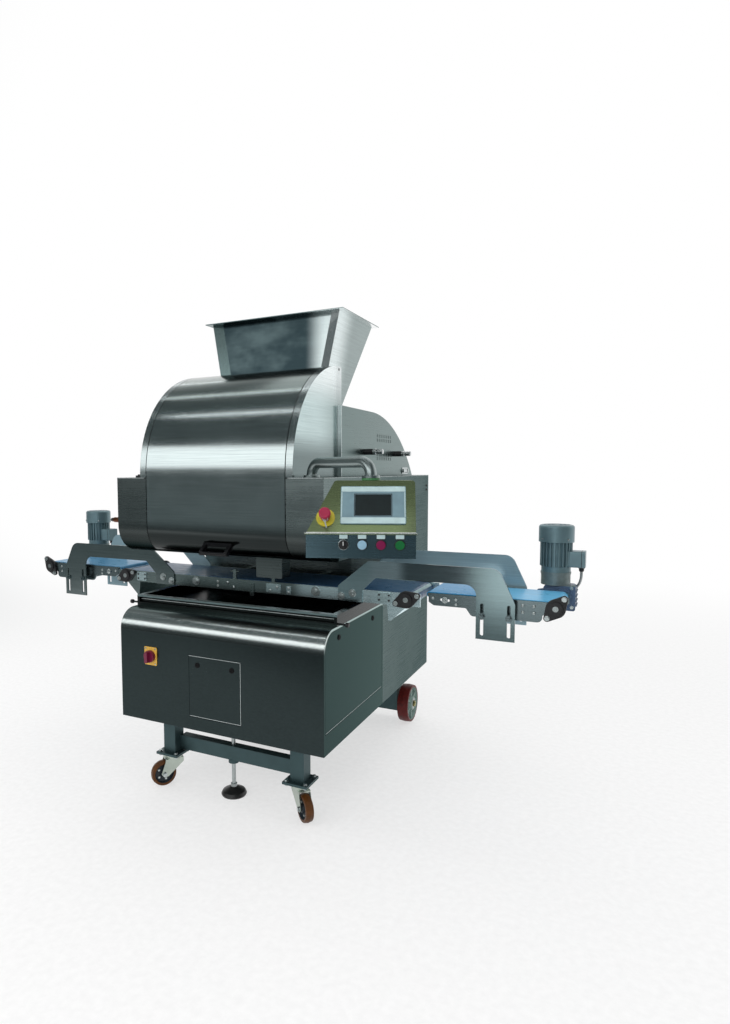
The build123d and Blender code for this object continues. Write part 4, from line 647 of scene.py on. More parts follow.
# Bright strips along sheet edges: painted highlights
edge_highlight = paint("painted edge highlight", (0.5, 0.55, 0.55), 0.35, 0.2)
stand_steel = paint("stand steel", (0.052, 0.09, 0.096), 0.42, 0.75)
zinc = turned_steel("zinc plate", (0.5, 0.56, 0.5), 0.32)
bolt_steel = turned_steel("bolt steel", (0.55, 0.6, 0.6), 0.28)
machined = turned_steel("machined steel", (0.42, 0.46, 0.46), 0.3)
brass = turned_steel("brass", (0.16, 0.06, 0.03), 0.35)
gold_nut = turned_steel("yellow plated nut", (0.4, 0.36, 0.16), 0.34)
black_plastic = plastic("black plastic", (0.012, 0.012, 0.014), 0.38)
black_gloss = plastic("black gloss plastic", (0.005, 0.005, 0.006), 0.2, 0.25)
lock_black = plastic("lock black", (0.004, 0.004, 0.005), 0.6, 0.2)
white_plastic = plastic("white plastic", (0.72, 0.74, 0.73), 0.35)
blank_white = plastic("blank plate white", (0.5, 0.66, 0.67), 0.4)
yellow_plastic = plastic("yellow plastic", (0.72, 0.42, 0.06), 0.35)
red_plastic = plastic("red plastic", (0.16, 0.008, 0.04), 0.3)
estop_red = plastic("emergency stop red", (0.36, 0.009, 0.055), 0.3)
magenta_plastic = plastic("red lens", (0.2, 0.005, 0.06), 0.22)
green_plastic = plastic("green lens", (0.006, 0.14, 0.035), 0.22)
ring_green = plastic("green ring", (0.06, 0.22, 0.08), 0.4)
lens_white = plastic("white lens", (0.3, 0.5, 0.64), 0.22)
terminal_grey = plastic("terminal grey", (0.175, 0.29, 0.34), 0.42)
module_grey = plastic("electrics modules", (0.5, 0.51, 0.5), 0.45)
screen = screen_glass("screen", (0.01, 0.017, 0.018))
drive_paint = paint("drive paint", (0.2, 0.23, 0.24), 0.4, 0.4)
cast_grey = paint("cast bearing", (0.2, 0.21, 0.22), 0.5, 0.4)
gearbox_paint = split_height("gearbox paint", GEARBOX_TOP, (0.06, 0.11, 0.2), (0.2, 0.25, 0.25), 0.5)
trim_plastic = split_height("panel trim", TRIM_SPLIT_Z, (0.015, 0.015, 0.016), (0.56, 0.48, 0.025))
foot_look = split_height("levelling foot", FOOT_TOP, (0.012, 0.012, 0.012), (0.42, 0.46, 0.46), 1.0)
grip_finish = grip_look("hood grips", (0.02, 0.02, 0.021), (0.66, 0.68, 0.68))
belt_navy = belt_cloth("navy belt", (0.035, 0.1, 0.2), 0.3)
# Blue belts: brightest at the outer end of the right belt, darker at its inner end and on the left belt:
# painted light and shade
belt_blue = belt_cloth("blue belt", (0.14, 0.5, 0.8), 0.3, [
    (left_of(960, 1000), (0.03, 0.33, 0.66)),
    (left_of(0, 1), (0.1, 0.3, 0.5)),
])


def paint_node(name, material):
    slots = nodes[name].data.materials
    slots.clear()
    slots.append(material)


def both_sides(name):
    return [name + "_left", name + "_right"]


def dress_nodes():
    """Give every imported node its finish."""
    finishes = {
        base_steel: ["base_housing"],
        cabinet_steel: ["access_door", "side_panels"],
        housing_steel: ["main_housing", "rear_cover", "head_frame"],
        cover_steel: ["front_cover"],
        hood_steel: ["rear_hood"],
        cheek_steel: ["cheeks"],
        hopper_steel: ["hopper"],
        bracket_steel: ["brackets"],
        rail_steel: ["conveyor_frame", "belt_guides"],
        outfeed_steel: both_sides("outfeed_frame"),
        shaded_tray_steel: ["crumb_tray"],
        console_steel: ["panel_box"],
        tube_steel: ["control_arm"],
        stand_steel: ["undercarriage"],
        zinc: both_sides("caster_fork"),
        machined: ["dividing_drum", "feed_roller_front", "feed_roller_rear",
                   *both_sides("conveyor_roller"), *both_sides("outfeed_roller")],
        black_plastic: ["conveyor_bearings", *both_sides("outfeed_bearing"), "tray_knobs", "selector_knob"],
        black_gloss: ["cover_handle"],
        cast_grey: ["head_bearings"],
        belt_navy: ["central_belt"],
        belt_blue: both_sides("outfeed_belt"),
        drive_paint: ["drive_gearmotor"],
        gearbox_paint: both_sides("outfeed_gearbox"),
        module_grey: ["electrics_plate"],
        terminal_grey: ["hmi_bezel"],
        screen: ["hmi_screen"],
        yellow_plastic: ["switch_plate"],
        red_plastic: ["switch_knob"],
        estop_red: ["estop_button"],
        white_plastic: ["drum_pistons"],
        lens_white: ["button_white"],
        magenta_plastic: ["button_red"],
        green_plastic: ["button_green"],
        grip_finish: ["hood_grips"],
        trim_plastic: ["panel_trim"],
        foot_look: ["levelling_foot"],
    }
    for material, names in finishes.items():
        for name in names:
            paint_node(name, material)
    for side, sign, _ in SIDES:
        name = "caster_wheel_" + side
        axis = joint_axis("caster_" + side + "_roll")
        paint_node(name, wheel_rubber("caster tread " + side, node_middle(name), axis,
                                      CASTER_RIM, CASTER_TREAD, CASTER_HUB))
        name = "rear_wheel_" + side
        paint_node(name, wheel_rubber("rear tread " + side, node_middle(name), RIGHT,
                                      REAR_RIM, REAR_TREAD, REAR_HUB))
        paint_node("outfeed_motor_" + side, motor_look("motor paint " + side, sign * MOTOR_X))


# Mesh tools for trim pieces

CORNER_STEPS = 5
SHARP_EDGE = math.radians(32)
BEVEL_EDGE = math.radians(40)


def turn_to(direction):
    """Rotation that takes +Z to a direction."""
    return Vector(direction).normalized().to_track_quat("Z", "Y").to_matrix().to_4x4()


def stand(x, y, z, direction=UP, spin=0.0):
    """Place for a piece drawn in millimetres about its own origin, its +Z along a direction."""
    about = Matrix.Rotation(math.radians(spin), 4, "Z")
    return Matrix.Translation(at(x, y, z)) @ turn_to(direction) @ about @ Matrix.Scale(MM, 4)


def right_sign(place):
    """One where a face's own X runs to the machine's right, else minus one."""
    along = place.to_3x3() @ Vector((1, 0, 0))
    return 1 if along.x > 0 else -1


def upright(place):
    """The same face with its own Y turned up."""
    up = (place.to_3x3() @ Vector((0, 1, 0))).normalized()
    return place if up.z > 0.5 else place @ Matrix.Rotation(math.pi / 2, 4, "Z")


def around(count):
    """Angles of a number of equal steps round a circle."""
    return [2 * math.pi * step / count for step in range(count)]


def regular(sides, radius):
    """Outline of a regular polygon."""
    return [(radius * math.cos(turn), radius * math.sin(turn)) for turn in around(sides)]


def strip(mesh, lower, upper):
    """Faces between two closed loops of vertices."""
    count = len(lower)
    for index in range(count):
        following = (index + 1) % count
        mesh.faces.new((lower[index], lower[following], upper[following], upper[index]))


def loft(mesh, loops, place):
    """A body through loops of points, closed at both ends."""
    rings = [[mesh.verts.new(place @ Vector(point)) for point in loop] for loop in loops]
    for lower, upper in zip(rings, rings[1:]):
        strip(mesh, lower, upper)
    mesh.faces.new(reversed(rings[0]))
    mesh.faces.new(rings[-1])


def lathe(mesh, profile, place, steps=28):
    """Turn a profile of (radius, height) about Z and close its ends."""
    loft(mesh, [[(x, y, height) for x, y in regular(steps, radius)] for radius, height in profile], place)


def prism(mesh, outline, low, high, place):
    """Extrude a closed outline of (x, y) from one height to another."""
    loft(mesh, [[(x, y, height) for x, y in outline] for height in (low, high)], place)


def rounded(width, height, radius, x=0.0, y=0.0):
    """Outline of a rectangle with round corners about a middle."""
    points = []
    corners = ((1, 1, 0), (-1, 1, 90), (-1, -1, 180), (1, -1, 270))
    for sign_x, sign_y, start in corners:
        for step in range(CORNER_STEPS + 1):
            angle = math.radians(start + 90 * step / CORNER_STEPS)
            points.append((x + sign_x * (width / 2 - radius) + radius * math.cos(angle),
                           y + sign_y * (height / 2 - radius) + radius * math.sin(angle)))
    return points


def ring(mesh, radius, wire, place, steps=32, sides=8):
    """Closed wire ring in the place's own XY plane."""
    loops = []
    for turn in around(steps):
        loop = []
        for angle in around(sides):
            reach = radius + wire * math.cos(angle)
            point = Vector((reach * math.cos(turn), reach * math.sin(turn), wire * math.sin(angle)))
            loop.append(mesh.verts.new(place @ point))
        loops.append(loop)
    for step in range(steps):
        strip(mesh, loops[step], loops[(step + 1) % steps])


def piece(name, mesh, material, body, bevel):
    """Make an object from a mesh, finish it and let it ride on a body."""
    data = bpy.data.meshes.new(name)
    bmesh.ops.recalc_face_normals(mesh, faces=mesh.faces)
    mesh.to_mesh(data)
    mesh.free()
    data.materials.append(material)
    data.shade_smooth()
    data.set_sharp_from_angle(angle=SHARP_EDGE)
    made = add_object(name, data)
    if bevel:
        modifier = made.modifiers.new("edges", "BEVEL")
        modifier.width = bevel * MM
        modifier.segments = 2
        modifier.limit_method = "ANGLE"
        modifier.angle_limit = BEVEL_EDGE
    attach(made, body)


def turned(name, profile, place, material, body, bevel, steps=28):
    """One turned piece."""
    mesh = bmesh.new()
    lathe(mesh, profile, place, steps)
    piece(name, mesh, material, body, bevel)


def plates(name, outlines, thick, place, body, material):
    """Flat plates lying side by side on one face, drawn in that face's own X and Y."""
    mesh = bmesh.new()
    for outline in outlines:
        prism(mesh, outline, 0, thick, place)
    piece(name, mesh, material, body, min(0.4, 0.3 * thick))


# Fasteners, each of them turned a little further than the last

FASTENER_SPIN = 17.0


def hex_bolt(mesh, place, size):
    """Hexagon head on a washer; size is the thread diameter."""
    washer = 0.16 * size
    lathe(mesh, [(0.6 * size, 0), (1.15 * size, 0), (1.15 * size, washer), (0.6 * size, washer)], place)
    prism(mesh, regular(6, 0.98 * size), washer, 0.82 * size, place)


def wide_bolt(mesh, place, size):
    """Hexagon head with a dished centre on a wide round washer."""
    washer = 1.65 * size
    lathe(mesh, [(0.6 * size, 0), (washer, 0), (washer, 0.22 * size), (washer - 1.2, 0.3 * size),
                 (0.9 * size, 0.3 * size)], place, 36)
    prism(mesh, regular(6, 0.95 * size), 0.3 * size, 0.9 * size, place)
    lathe(mesh, [(0.62 * size, 0.9 * size), (0.5 * size, 1.02 * size), (0.3 * size, 1.02 * size)], place, 20)


def button_screw(mesh, place, size):
    """Domed socket screw."""
    profile = [(0.95, 0), (0.95, 0.12), (0.8, 0.38), (0.5, 0.52), (0.36, 0.52), (0.33, 0.22)]
    lathe(mesh, [(radius * size, height * size) for radius, height in profile], place, 20)


def fasteners(name, kind, places, size, body, material=bolt_steel):
    """One object holding all the fasteners of one kind on a body."""
    mesh = bmesh.new()
    for index, (x, y, z, direction) in enumerate(places):
        kind(mesh, stand(x, y, z, direction, FASTENER_SPIN * index), size)
    piece(name, mesh, material, body, 0.25)


# Trim of the base cabinet

LOCK_RADIUS = 11.0
LOCK_SOCKET = 6.2
LOCK_HIGH = 3.2
SIDE_LOCK_Y = (137, 499)
SIDE_LOCK_Z = 736
DOOR_LOCK_X = 81
DOOR_LOCK_Z = 591
DOOR_WIDTH = 243
SWITCH_SCREW_INSET = 7


def lock_button(mesh, place):
    """Quarter-turn lock with a square socket in its middle."""
    lathe(mesh, [(LOCK_RADIUS, 0), (LOCK_RADIUS, LOCK_HIGH / 2), (LOCK_RADIUS - 1.5, LOCK_HIGH),
                 (LOCK_SOCKET, LOCK_HIGH), (LOCK_SOCKET, 1.2)], place)
    prism(mesh, regular(4, 4.2), 0.6, 2.6, place)


def dress_base():
    half_width = node_box("base_housing")[1].x
    mesh = bmesh.new()
    for _, sign, direction in SIDES:
        for y in SIDE_LOCK_Y:
            lock_button(mesh, stand(sign * half_width, y, SIDE_LOCK_Z, direction))
    piece("side_panel_locks", mesh, lock_black, "machine", 0.3)
    mesh = bmesh.new()
    for x in (-DOOR_LOCK_X, DOOR_LOCK_X):
        lock_button(mesh, stand(x, 0, DOOR_LOCK_Z, FRONT))
    piece("door_locks", mesh, lock_black, "access_door", 0.3)
    door_edge_highlights()
    sheet_edge_highlights()
    tray_edges()
    low, high = node_box("switch_plate")
    inset = SWITCH_SCREW_INSET
    places = [(x, low.y, z, FRONT)
              for x in (low.x + inset, high.x - inset) for z in (low.z + inset, high.z - inset)]
    fasteners("switch_plate_screws", button_screw, places, 4, "machine")


# Painted highlights: thin bright strips along sheet edges

EDGE_STRIP = 1.8
EDGE_ROUND = 0.7
EDGE_PROUD = 0.5
EDGE_MARGIN = 10
SHOULDER_START = 8
SHOULDER_MARGIN = 12
TRAY_OVERHANG = 3
TRAY_FLANGE = 8
TRAY_GROOVE_BACK = 12
TRAY_LINE = 2.4
TRAY_LINE_DROP = 18
TRAY_LINE_MARGIN = 30


def door_edge_highlights():
    """Painted highlights along the upper, lower and right edge of the access door."""
    low, high = node_box("access_door")
    tall = high.z - low.z
    face = upright(stand(0, low.y, (low.z + high.z) / 2, FRONT))
    rise = (tall - EDGE_STRIP) / 2
    strips = [rounded(DOOR_WIDTH, EDGE_STRIP, EDGE_ROUND, 0, y) for y in (-rise, rise)]
    right_edge = right_sign(face) * (DOOR_WIDTH - EDGE_STRIP) / 2
    strips.append(rounded(EDGE_STRIP, tall - 3 * EDGE_STRIP, EDGE_ROUND, right_edge))
    plates("door_edge_highlights", strips, EDGE_PROUD, face, "access_door", edge_highlight)


def highlight_strip(name, length, x, y, z, direction):
    """One painted edge highlight, a thin strip lying level on a face of the machine."""
    face = upright(stand(x, y, z, direction))
    plates(name, [rounded(length, EDGE_STRIP, EDGE_ROUND)], EDGE_PROUD, face, "machine", edge_highlight)


def outer_x(low, high, sign):
    """X of a box's left or right face."""
    return high.x if sign > 0 else low.x


def sheet_edge_highlights():
    """Painted highlights along the lower edges of the side panels and the upper edges of the deck and the
    shoulders.
    """
    low, high = node_box("side_panels")
    for side, sign, direction in SIDES:
        highlight_strip("side_panel_edge_highlight_" + side, high.y - low.y - EDGE_MARGIN, outer_x(low, high, sign),
                   (low.y + high.y) / 2, low.z + EDGE_STRIP, direction)
    low, high = node_box("main_housing")
    wide = high.x - SHOULDER_SEAM - SHOULDER_MARGIN
    top = high.z - EDGE_STRIP
    for side, sign, direction in SIDES:
        highlight_strip("deck_edge_highlight_" + side, high.y - low.y - EDGE_MARGIN, outer_x(low, high, sign),
                   (low.y + high.y) / 2, top, direction)
        highlight_strip("shoulder_edge_highlight_" + side, wide, sign * (SHOULDER_SEAM + SHOULDER_START + wide / 2),
                   low.y, top, FRONT)


def tray_edges():
    """Lighter front flange of the crumb tray, as painted light, and a painted highlight line in the groove
    under it.
    """
    low, high = node_box("crumb_tray")
    wide = 2 * (node_box("base_housing")[1].x + TRAY_OVERHANG)
    face = upright(stand(0, low.y, high.z - TRAY_FLANGE / 2, FRONT))
    flange = rounded(wide, TRAY_FLANGE - 0.6, EDGE_ROUND)
    plates("tray_flange_edge", [flange], 0.4, face, "crumb_tray", tray_edge)
    face = upright(stand(0, low.y + TRAY_GROOVE_BACK, high.z - TRAY_LINE_DROP, FRONT))
    line = rounded(wide - TRAY_LINE_MARGIN, TRAY_LINE, EDGE_ROUND)
    plates("tray_groove_highlight", [line], 1.5, face, "crumb_tray", edge_highlight)


# Trim of the stand

LEG_X = 310
LEG_Y = 135
FLANGE_TOP = 150
FLANGE_LOW = 139.7
FLANGE_BOLT_REACH = 41
FORK_OUTSIDE = 25
CASTER_WEB = 5.4
WHEEL_BOLT_CIRCLE = 27
WHEEL_BOLTS = 5
HUB_RING = [(13, 0.2), (27, 0.2), (27, 1.4), (24, 2.4), (21, 2.4), (20, 1.2), (13, 1.2)]
AXLE_END = [(8, 9.5), (11, 9.5), (9, 12.5), (3, 12.5)]


def dress_caster(side, sign):
    """Axle nuts and hub bolts of one caster, and the bolts and nuts of its flange."""
    middle = node_middle("caster_wheel_" + side)
    axis = joint_axis("caster_" + side + "_roll")
    nuts = bmesh.new()
    bolts = bmesh.new()
    for turn in (-1, 1):
        outward = turn_to(axis * turn)
        fork_face = Matrix.Translation(middle + axis * turn * FORK_OUTSIDE * MM) @ outward
        hex_bolt(nuts, fork_face @ Matrix.Scale(MM, 4), 9)
        web_face = Matrix.Translation(middle + axis * turn * CASTER_WEB * MM) @ outward
        for x, y in regular(WHEEL_BOLTS, WHEEL_BOLT_CIRCLE):
            hex_bolt(bolts, web_face @ Matrix.Translation(Vector((x, y, 0)) * MM) @ Matrix.Scale(MM, 4), 4.5)
    piece("caster_axle_nuts_" + side, nuts, bolt_steel, "caster_" + side, 0.25)
    piece("caster_hub_bolts_" + side, bolts, bolt_steel, "caster_wheel_" + side, 0.2)
    reaches = (-FLANGE_BOLT_REACH, FLANGE_BOLT_REACH)
    spots = [(sign * LEG_X + dx, LEG_Y + dy) for dx in reaches for dy in reaches]
    places = [(x, y, FLANGE_TOP, UP) for x, y in spots]
    fasteners("caster_flange_bolts_" + side, hex_bolt, places, 8, "machine")
    places = [(x, y, FLANGE_LOW, DOWN) for x, y in spots]
    fasteners("caster_flange_nuts_" + side, hex_bolt, places, 8, "machine")


def dress_rear_wheel(side, sign, direction):
    """Hub ring and axle nut of one rear wheel."""
    low, high = node_box("rear_wheel_" + side)
    middle = (low + high) / 2
    place = stand(outer_x(low, high, sign), middle.y, middle.z, direction)
    turned("rear_hub_ring_" + side, HUB_RING, place, machined, "rear_wheel_" + side, 0.2, 36)
    mesh = bmesh.new()
    prism(mesh, regular(6, 17), 1.4, 9.5, place)
    lathe(mesh, AXLE_END, place, 24)
    piece("rear_axle_nut_" + side, mesh, gold_nut, "machine", 0.4)


# Trim of the head and the control arm

SHOULDER_PLUG = (-475, 25, 1160)
PLUG_BODY = [(14, 0), (14, 4), (11, 5), (11, 40), (9.5, 44), (8, 44)]
PLUG_TIP = [(8, 44), (8.5, 50), (7, 58), (3.5, 61)]
SHOULDER_KNOB = (-392, 40, 1339)
COLUMN_SCREW_Y = 1301
COLUMN_SCREW_Z = (1262, 1284)
LATCH_Y, LATCH_Z = 1253, 1362
LATCH_LOOP = (0, -18, 7)
ARM_FOOT = (405, 50)
ARM_FLANGE_TOP = 1347
ARM_SCREW_CIRCLE = 24.6
PANEL_PIVOT = (680, -75)
PIVOT_RING_Z = 1331.6
PIVOT_RING = [(28.3, 0), (30.5, 0), (30.5, 6.5), (28.3, 6.5)]

# Plates of a latch: outline, then the heights of its two faces
LATCH_PLATES = (
    (rounded(34, 96, 5), 0, 2.5),
    (rounded(16, 54, 6, 0, 14), 6, 10),
    (rounded(20, 10, 2, 0, 34), 2.5, 8),
    (rounded(22, 12, 3, 0, -36), 2.5, 9),
)


def dress_head():
    plug = stand(*SHOULDER_PLUG, LEFT)
    turned("shoulder_plug", PLUG_BODY, plug, brass, "machine", 0.4)
    turned("shoulder_plug_tip", PLUG_TIP, plug, black_plastic, "machine", 0.3)
    mesh = bmesh.new()
    prism(mesh, rounded(26, 16, 4), 0, 9, stand(*SHOULDER_KNOB))
    lathe(mesh, [(5, 9), (5, 12), (4, 13.5)], stand(*SHOULDER_KNOB), 20)
    piece("shoulder_knob", mesh, black_plastic, "machine", 0.6)
    side = node_box("main_housing")[1].x
    places = [(side, COLUMN_SCREW_Y, z, RIGHT) for z in COLUMN_SCREW_Z]
    fasteners("column_screws", button_screw, places, 7, "machine", black_plastic)
    dress_latches()
    pivot = stand(*PANEL_PIVOT, PIVOT_RING_Z)
    turned("pivot_ring", PIVOT_RING, pivot, ring_green, "panel", 0.4, 40)
    reach = ARM_SCREW_CIRCLE
    places = [(x + reach * math.cos(turn), y + reach * math.sin(turn), ARM_FLANGE_TOP, UP)
              for x, y in (ARM_FOOT, PANEL_PIVOT) for turn in CORNER_TURNS]
    fasteners("arm_flange_screws", button_screw, places, 4, "machine")


def dress_latches():
    """Toggle latches of the hood's rear corners: base, bowed lever, hook and wire loop."""
    hood_side = node_box("rear_hood")[1].x
    mesh = bmesh.new()
    for _, sign, direction in SIDES:
        place = stand(sign * hood_side, LATCH_Y, LATCH_Z, direction, sign * 90)
        for outline, low, high in LATCH_PLATES:
            prism(mesh, outline, low, high, place)
        ring(mesh, 9, 1.6, place @ Matrix.Translation(LATCH_LOOP))
    piece("hood_latches", mesh, bolt_steel, "machine", 0.5)


# Trim of the control panel, in the panel's own frame: S along it, then a height or a rise up its face

PANEL_TURN = 20
PANEL_TILT = 26
PANEL_LIP_REACH = 112
BUTTON_S = (-84, -25.5, 33, 91.5)
BUTTON_Z = 1131
LABEL_RISE = 26
SELECTOR_END = 17.5
HMI_S, HMI_RISE, HMI_THICK = 8, 96, 5
ESTOP_S, ESTOP_RISE = -142, 53

# Flat outlines: width, height, corner radius and the middle's place on the terminal
TERMINAL_BANDS = ((202, 17, 2, 0, 54.5), (202, 20, 2, 0, -53), (3, 86, 1, -99.5, 1.5), (3, 86, 1, 99.5, 1.5))
SCREEN_LINES = ((120, 2, 0.5, 0, -38), (120, 2, 0.5, 0, 38), (2, 74, 0.5, -59, 0), (2, 74, 0.5, 59, 0))


def on_panel(s, z):
    turn = Matrix.Rotation(math.radians(PANEL_TURN), 4, "Z")
    offset = Matrix.Translation(Vector((s, -PANEL_LIP_REACH, z)) * MM)
    return Matrix.Translation(at(*PANEL_PIVOT, 0)) @ turn @ offset


def on_face(s, rise):
    """Place on the sloped face, in millimetres: X along it, Y up it, Z out of it."""
    tilt = Matrix.Rotation(math.radians(90 - PANEL_TILT), 4, "X")
    return on_panel(s, PANEL_LIP_Z) @ tilt @ Matrix.Translation((0, rise * MM, 0)) @ Matrix.Scale(MM, 4)


def on_strip(s, z):
    """Place on the upright button strip, in millimetres: Z points out of it."""
    return on_panel(s, z) @ Matrix.Rotation(math.radians(90), 4, "X") @ Matrix.Scale(MM, 4)


def dress_panel():
    holders = bmesh.new()
    inserts = bmesh.new()
    for s in BUTTON_S:
        place = on_strip(s, BUTTON_Z)
        prism(holders, rounded(30, 18, 2, 0, LABEL_RISE), 0, 1.5, place)
        prism(inserts, rounded(26, 14, 1.2, 0, LABEL_RISE), 1.5, 2.3, place)
    piece("button_holders", holders, black_plastic, "panel", 0.4)
    piece("button_inserts", inserts, blank_white, "panel", 0.2)
    mesh = bmesh.new()
    selector = on_strip(BUTTON_S[0], BUTTON_Z)
    ring(mesh, 15.6, 1.3, selector @ Matrix.Translation((0, 0, 3.6)))
    piece("selector_ring", mesh, bolt_steel, "panel", 0.0)
    mesh = bmesh.new()
    prism(mesh, rounded(2.6, 12, 0.8, 0, 5), SELECTOR_END, SELECTOR_END + 0.6, selector)
    piece("selector_mark", mesh, white_plastic, "selector_knob", 0.2)
    bezel = on_face(HMI_S, HMI_RISE) @ Matrix.Translation((0, 0, HMI_THICK))
    bands = [rounded(*band) for band in TERMINAL_BANDS]
    plates("terminal_bands", bands, 0.5, bezel, "panel", blank_white)
    lines = [rounded(*line) for line in SCREEN_LINES]
    plates("screen_frame", lines, 0.4, bezel, "panel", black_plastic)
    dress_estop()


def dress_estop():
    """Key in the emergency stop's head, with a ring and a second key hanging from it."""
    head = on_face(ESTOP_S, ESTOP_RISE)
    mesh = bmesh.new()
    prism(mesh, rounded(9, 2.2, 0.6), 36, 45, head)
    key = head @ Matrix.Translation((0, -20, 34))
    prism(mesh, rounded(11, 12, 4), -1, 1, key)
    blade = key @ Matrix.Rotation(math.radians(14), 4, "Z")
    prism(mesh, rounded(4.5, 24, 1.2, 0, -16), -0.8, 0.8, blade)
    ring(mesh, 8, 0.9, key @ Matrix.Translation((2, 2, 2)) @ Matrix.Rotation(math.radians(60), 4, "X"))
    piece("estop_key", mesh, bolt_steel, "estop_button", 0.2)


# Trim of the central conveyor

RAIL_FRONT = 288
RAIL_BACK = 575
RAIL_FACES = ((RAIL_FRONT, FRONT, -1), (RAIL_BACK, BACK, 1))
BRACKET_THICK = 6
PLATE_THICK = 3
ROLLER_X = 690
ROLLER_Z = 872
BEARING_TILT = 22
FLANGE_REACH = 45
FLANGE_PLATE = 10
RAIL_BOLT_X = (-288, 306)
RAIL_BOLT_Z = 873
BRACKET_BOLTS = ((422, 865), (470, 880))
RAIL_SCREWS = ((-171, 878), (-171, 859), (-120, 878), (-89, 860))
RAIL_PLATES = ((70, 38, 2, 110, 870), (22, 36, 2, 183, 867), (56, 40, 3, -600, 872), (56, 40, 3, 600, 872))
PLATE_SCREWS = ((128, 877), (95, 861), (183, 877), (183, 859))
END_PLATE_SCREWS = ((580, 882), (620, 882), (580, 862), (620, 862))


def flange_bolts(x, z, face, side, tilt, mirror=1):
    """Bolt places of an oval two-bolt flange on the front (-1) or rear (1) face."""
    angle = math.radians(tilt)
    places = []
    for end in (-1, 1):
        dx = mirror * end * FLANGE_REACH * math.cos(angle)
        dz = -side * end * FLANGE_REACH * math.sin(angle)
        places.append((x + dx, face + side * FLANGE_PLATE, z + dz, FRONT if side < 0 else BACK))
    return places


def dress_conveyor():
    places = []
    for x in (-ROLLER_X, ROLLER_X):
        for face, _, side in RAIL_FACES:
            places += flange_bolts(x, ROLLER_Z, face, side, BEARING_TILT)
    fasteners("bearing_bolts", hex_bolt, places, 8, "machine")
    places = [(x, face, RAIL_BOLT_Z, direction) for x in RAIL_BOLT_X for face, direction, _ in RAIL_FACES]
    fasteners("rail_bolts", wide_bolt, places, 12, "machine")
    places = [(sign * x, face + side * BRACKET_THICK, z, direction)
              for face, direction, side in RAIL_FACES for x, z in BRACKET_BOLTS for sign in (-1, 1)]
    fasteners("bracket_bolts", wide_bolt, places, 9.5, "machine")
    front = stand(0, RAIL_FRONT, 0, FRONT)
    flip = right_sign(front)
    outlines = [rounded(width, height, radius, flip * x, z) for width, height, radius, x, z in RAIL_PLATES]
    plates("rail_plates", outlines, PLATE_THICK, upright(front), "machine", plate_steel)
    places = [(x, RAIL_FRONT, z, FRONT) for x, z in RAIL_SCREWS]
    fasteners("rail_screws", button_screw, places, 7, "machine")
    places = [(x, RAIL_FRONT - PLATE_THICK, z, FRONT) for x, z in PLATE_SCREWS]
    fasteners("plate_screws", button_screw, places, 6, "machine")
    places = [(sign * x, RAIL_FRONT - PLATE_THICK, z, FRONT) for sign in (-1, 1) for x, z in END_PLATE_SCREWS]
    fasteners("end_plate_screws", button_screw, places, 4.5, "machine", black_plastic)
    dress_lacing()


# Lacing of the central belt, over its right end

LACING_COUNT = 44
LACING_ANGLES = (28, 62)
LACING_STAGGER = 6.6
BELT_MIDDLE_Y = 431.5
BELT_OUTSIDE = 24.9
BELT_HALF = 130


def dress_lacing():
    """A row of wire hooks, every other one shorter."""
    mesh = bmesh.new()
    pitch = 2 * BELT_HALF / LACING_COUNT
    first, last = LACING_ANGLES
    for index in range(LACING_COUNT):
        y = BELT_MIDDLE_Y - BELT_HALF + (index + 0.5) * pitch
        reach = last - LACING_STAGGER * (index % 2)
        turn = math.radians((first + reach) / 2)
        normal = Vector((math.sin(turn), 0, math.cos(turn)))
        spot = Vector((ROLLER_X, y, ROLLER_Z)) + BELT_OUTSIDE * normal
        place = stand(*spot, normal)
        along = (place.to_3x3() @ Vector((1, 0, 0))).normalized()
        if abs(along.y) > 0.5:
            place = place @ Matrix.Rotation(math.radians(90), 4, "Z")
        length = BELT_OUTSIDE * math.radians(reach - first)
        prism(mesh, rounded(length, 0.6 * pitch, 1.2), -0.6, 1.0, place)
    piece("belt_lacing", mesh, blank_white, "machine", 0.25)


# Trim of the outfeed conveyors

OUTFEED_END_X = 1218
OUTFEED_Z = 881
OUTFEED_TILT = 52
PLATE_FRONT = 313
PLATE_BACK = 550
GEARBOX_FACE = 575
TENSION_BOLT = (830, 877)
SLIDE_SCREWS = [(785, 882), (872, 882), (872, 864)]
END_SCREWS = [(x, z) for x in (1108, 1146) for z in (858, 882)]
GEARBOX_BOLTS = ((1248, 912), (1250, 838))
COWL_RADIUS = 65
COWL_SCREW_Z = 1096
TERMINAL_REACH = 92
TERMINAL_Z = 1020
TERMINAL_LID = 63.2
GLAND_END = [(9.5, 5), (9.5, 11), (7.5, 17), (6, 17)]


def dress_outfeed(side, sign):
    body = "outfeed_" + side
    places = flange_bolts(sign * OUTFEED_END_X, OUTFEED_Z, PLATE_FRONT, -1, OUTFEED_TILT, sign)
    fasteners("outfeed_bearing_bolts_" + side, hex_bolt, places, 8, body)
    x, z = TENSION_BOLT
    fasteners("tension_bolt_" + side, wide_bolt, [(sign * x, PLATE_FRONT, z, FRONT)], 7, body)
    places = [(sign * x, PLATE_FRONT, z, FRONT) for x, z in SLIDE_SCREWS + END_SCREWS]
    places += [(sign * x, PLATE_BACK, z, BACK) for x, z in SLIDE_SCREWS]
    fasteners("outfeed_screws_" + side, button_screw, places, 6, body)
    places = [(sign * x, GEARBOX_FACE, z, FRONT) for x, z in GEARBOX_BOLTS]
    fasteners("flange_bolts_" + side, hex_bolt, places, 6, body)
    dress_motor(side, sign * MOTOR_X, body)


